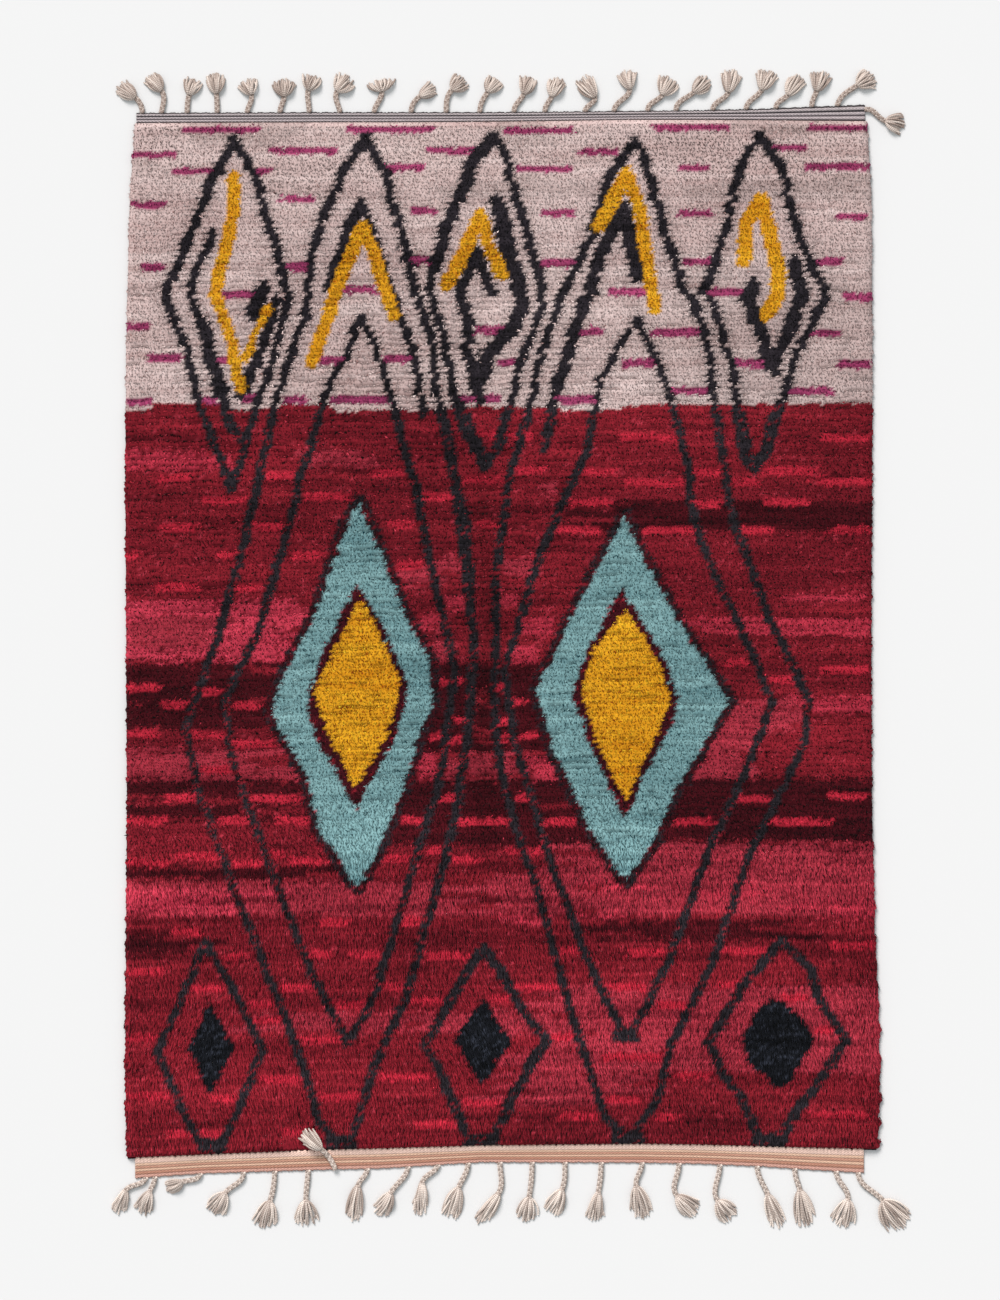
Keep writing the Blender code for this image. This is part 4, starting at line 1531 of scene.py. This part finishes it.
def braid_paths(guides, leaves, run, base):
    """Three yarns that cross over one another along the cord."""
    paths = []
    count = max(int(run / BRAID_STEP), 8)
    for strand, tone in enumerate(BRAID_TONES):
        path = []
        for k in range(count + 1):
            at, heading = curve_point(guides, k / count)
            if k == 0:
                heading = leaves
            phase = 2 * math.pi * (run * k / count / BRAID_PITCH + strand / len(BRAID_TONES))
            sideways = BRAID_WIDTH * math.sin(phase)
            lift = BRAID_LIFT * math.sin(2 * phase) + BRAID_LIFT + BRAID_YARN
            x = at[0] + sideways * math.sin(heading)
            y = at[1] - sideways * math.cos(heading)
            path.append((x, y, base(*at) + lift))
        paths.append((path, BRAID_YARN, tone))
    return paths


def tuft_paths(knot, tuft_way, length, splay, base, chance):
    """The loose yarn ends of a tuft, in two layers, and the two turns of yarn that bind its head."""
    paths = []
    across_way = np.array((tuft_way[1], -tuft_way[0]))
    for number in range(TUFT_YARNS):
        upper = number % 2
        place = (number + 0.5) / TUFT_YARNS * 2 - 1 + chance.uniform(-0.06, 0.06)
        reach = length * chance.uniform(0.78, 1.04) * (1 - 0.2 * place * place)
        drift = chance.uniform(-TUFT_STRAY, TUFT_STRAY)
        curl = chance.uniform(-TUFT_STRAY, TUFT_STRAY) + 0.003 * place
        path = []
        for part in TUFT_PARTS:
            spread = 0.0035 + (0.62 * splay - 0.004) * part**0.6 * (1 - 0.24 * part * part)
            bend = drift * math.sin(math.pi * part) + curl * part**3
            at = knot + tuft_way * reach * part + across_way * (place * spread + bend)
            crown = (0.0056 + 0.0050 * upper) * math.sin(math.pi * min(part + 0.12, 1.0)) ** 0.7
            lift = TUFT_YARN + 0.0016 * (1 - part) + crown * (1 - 0.45 * place * place)
            path.append((at[0], at[1], base(*at) + lift))
        paths.append((path, TUFT_YARN, chance.uniform(0.0, 1.0)))
    for turn in (-1, 1):
        path = []
        for k in range(BINDING_STEPS + 1):
            angle = 2 * math.pi * k / BINDING_STEPS
            at = knot + tuft_way * (0.0022 * turn + 0.004) + across_way * BINDING_REACH * math.cos(angle)
            path.append((at[0], at[1], base(*at) + 0.0064 + 0.0046 * math.sin(angle)))
        paths.append((path, BINDING_YARN, chance.uniform(0.3, 0.6)))
    return paths


def on_floor(x, y):
    """The level on which all the other cords lie, the same everywhere."""
    return 0.0


def climbing(x, y):
    """The level on which the folded cord lies: its band, and then the pile."""
    band_top = BAND_THICKNESS + RIB_HEIGHT + GAP
    pile_top = PILE_HEIGHT + LUMP_HEIGHT + ROW_RIDGE - PRESSED["depth"] + 4 * GAP
    climb = (y - float(across(x, "foot_seam")) + RIM_SLOPE) / (2 * RIM_SLOPE)
    t = min(max(climb, 0), 1)
    return band_top + (pile_top - band_top) * t * (2 - t)


def yarn_tone(name, girth, tone):
    """How pale a yarn is, from its own share of chance: the upper row is darker, its braids most of all."""
    if "top" in name:
        return 0.08 + 0.72 * tone - (0.18 if girth == BRAID_YARN else 0)
    return 0.16 + 0.92 * tone if girth == TUFT_YARN else tone


def tassel(name, root, leaves, to_knot, to_tip, splay, bow, yarn_maker, base=on_floor):
    """One tassel in yarn: a braided cord, bound at its head, and its loose ends. It takes the place of its solid."""
    chance = random.Random(name)
    root = np.array(root)
    knot = root + np.array(to_knot)
    tip = knot + np.array(to_tip)
    run = float(np.linalg.norm(knot - root))
    start = np.array((math.cos(leaves), math.sin(leaves)))
    length = float(np.linalg.norm(tip - knot))
    tuft_way = (tip - knot) / length
    sideways = np.array((start[1], -start[0]))
    guides = (root, root + start * run * 0.4 + sideways * bow, knot - tuft_way * run * 0.35, knot + tuft_way * 0.004)
    paths = braid_paths(guides, leaves, run, base)
    paths += tuft_paths(knot, tuft_way, length, splay, base, chance)
    points, edges, girths, tones = [], [], [], []
    for path, girth, tone in paths:
        first = len(points)
        points += path
        edges += [(first + k, first + k + 1) for k in range(len(path) - 1)]
        girths += [girth] * (len(path) - 1) + [girth * 0.82]
        tones += [yarn_tone(name, girth, tone)] * len(path)
    source = bpy.data.meshes.new(name + "_paths")
    source.from_pydata(points, edges, [])
    carried(source, "girth", "FLOAT", girths)
    carried(source, "tone", "FLOAT", tones)
    piece = grown(name + "_yarn", linked(name + "_paths", source), *yarn_maker, {"Sides": YARN_SIDES})
    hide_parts(name)
    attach(piece, "root")
    return piece


def tassels(yarn_maker):
    """All the tassels: both rows, the corner cord and the folded one."""
    made = []
    for kind, rows, edge_column, outward in (
        ("top", HEAD_TASSELS, "head_edge", 1),
        ("bottom", FOOT_TASSELS, "foot_edge", -1),
    ):
        for number, row in enumerate(rows, 1):
            if row is None:
                continue
            size = dict(zip(TASSEL_COLUMNS, np.array(row) * MM))
            root = (size["root"], float(across(size["root"], edge_column)) + outward * ROOT_GAP)
            to_knot = (size["knot_along"], outward * size["knot_out"])
            to_tip = (size["tip_along"], outward * size["tip_out"])
            name = f"tassel_{kind}_{number:02d}"
            leaves = outward * math.pi / 2
            made.append(tassel(name, root, leaves, to_knot, to_tip, size["splay"], size["bow"], yarn_maker))
    cord = CORNER_CORD
    root = (HEAD_ENDS[1] + GAP, cord["root_along"])
    name = f"tassel_top_{len(HEAD_TASSELS) + 1:02d}"
    made.append(tassel(name, root, 0.0, cord["knot"], cord["tip"], cord["splay"], -0.006, yarn_maker))
    cord = FOLDED_CORD
    root = (cord["root"], float(across(cord["root"], "foot_edge")) + 0.001)
    name = f"tassel_bottom_{FOOT_TASSELS.index(None) + 1:02d}"
    leaves = math.pi * 0.62
    made.append(tassel(name, root, leaves, cord["knot"], cord["tip"], cord["splay"], 0.0, yarn_maker, climbing))
    return made


def camera():
    """A camera high above the rug, looking straight down, whose frame is the whole plan."""
    data = bpy.data.cameras.new("camera above")
    data.sensor_width = SENSOR_WIDTH
    data.lens = SENSOR_WIDTH * (CAMERA_HEIGHT - LEVEL_IN_FRAME) / (PLAN_HEIGHT * STEP)
    data.clip_end = 100
    eye = bpy.data.objects.new("camera above", data)
    right = (PLAN_WIDTH / 2 - PLAN_MIDDLE[0]) * STEP
    up = (PLAN_MIDDLE[1] - PLAN_HEIGHT / 2) * STEP
    eye.location = (right, up, CAMERA_HEIGHT)
    bpy.context.collection.objects.link(eye)
    bpy.context.scene.camera = eye


def studio():
    """A pale floor under an even sky, and one soft lamp from the upper left."""
    mesh = bpy.data.meshes.new("floor")
    corners = [(x * FLOOR_HALF, y * FLOOR_HALF, FLOOR_LEVEL) for x, y in ((-1, -1), (1, -1), (1, 1), (-1, 1))]
    mesh.from_pydata(corners, [], [(0, 1, 2, 3)])
    floor = linked("floor", mesh)
    paper = Finish("pale floor", 1.0, gloss=0.0)
    paper.feed("Base Color", FLOOR_COLOUR)
    mesh.materials.append(paper.material)
    world = bpy.data.worlds.new("even sky")
    world.use_nodes = True
    sky = world.node_tree.nodes["Background"]
    sky.inputs["Color"].default_value = SKY_COLOUR
    sky.inputs["Strength"].default_value = SKY_STRENGTH
    bpy.context.scene.world = world
    lamp = bpy.data.lights.new("soft lamp", "SUN")
    for name, value in LAMP.items():
        setattr(lamp, name, value)
    light = bpy.data.objects.new("soft lamp", lamp)
    light.rotation_euler = LAMP_TURN
    bpy.context.collection.objects.link(light)
    bpy.context.scene.view_settings.view_transform = "Standard"


def laid_pile(finish):
    """The pile's loose tips, in pieces from the lower end to the upper end."""
    knot = knots()
    strand = one_strand()
    tree, identifiers = laid_pile_tree(finish)
    pieces = []
    for number in range(PILE_PIECES):
        low, high = (2 * PILE_ROWS * part // PILE_PIECES for part in (number, number + 1))
        chosen = (knot["line"] >= low) & (knot["line"] < high)
        pieces.append(pile_piece(number + 1, chosen, knot, strand, tree, identifiers))
    bpy.data.objects.remove(strand, do_unlink=True)
    return pieces


def main():
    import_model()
    camera()
    studio()
    pile_wool, ground_wool = pile_finish(), ground_finish()
    pile = [*laid_pile(pile_wool), pile_body(pile_wool)]
    ground = woven_ground(ground_wool)
    for piece in (ground, *pile):
        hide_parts("pile_field")
        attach(piece, "root")
    peach, grey = band_finish("peach end weave"), band_finish("grey end weave")
    foot = woven_band("foot_weave", "foot_seam", "foot_edge", FOOT_ENDS, FOOT_STRIPES, peach)
    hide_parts("end_band_bottom")
    head = woven_band("head_weave", "head_seam", "head_edge", HEAD_ENDS, HEAD_STRIPES, grey)
    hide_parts("end_band_top")
    for piece in (foot, head):
        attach(piece, "root")
    fringe = tassels(yarn_tree(warp_finish()))


main()
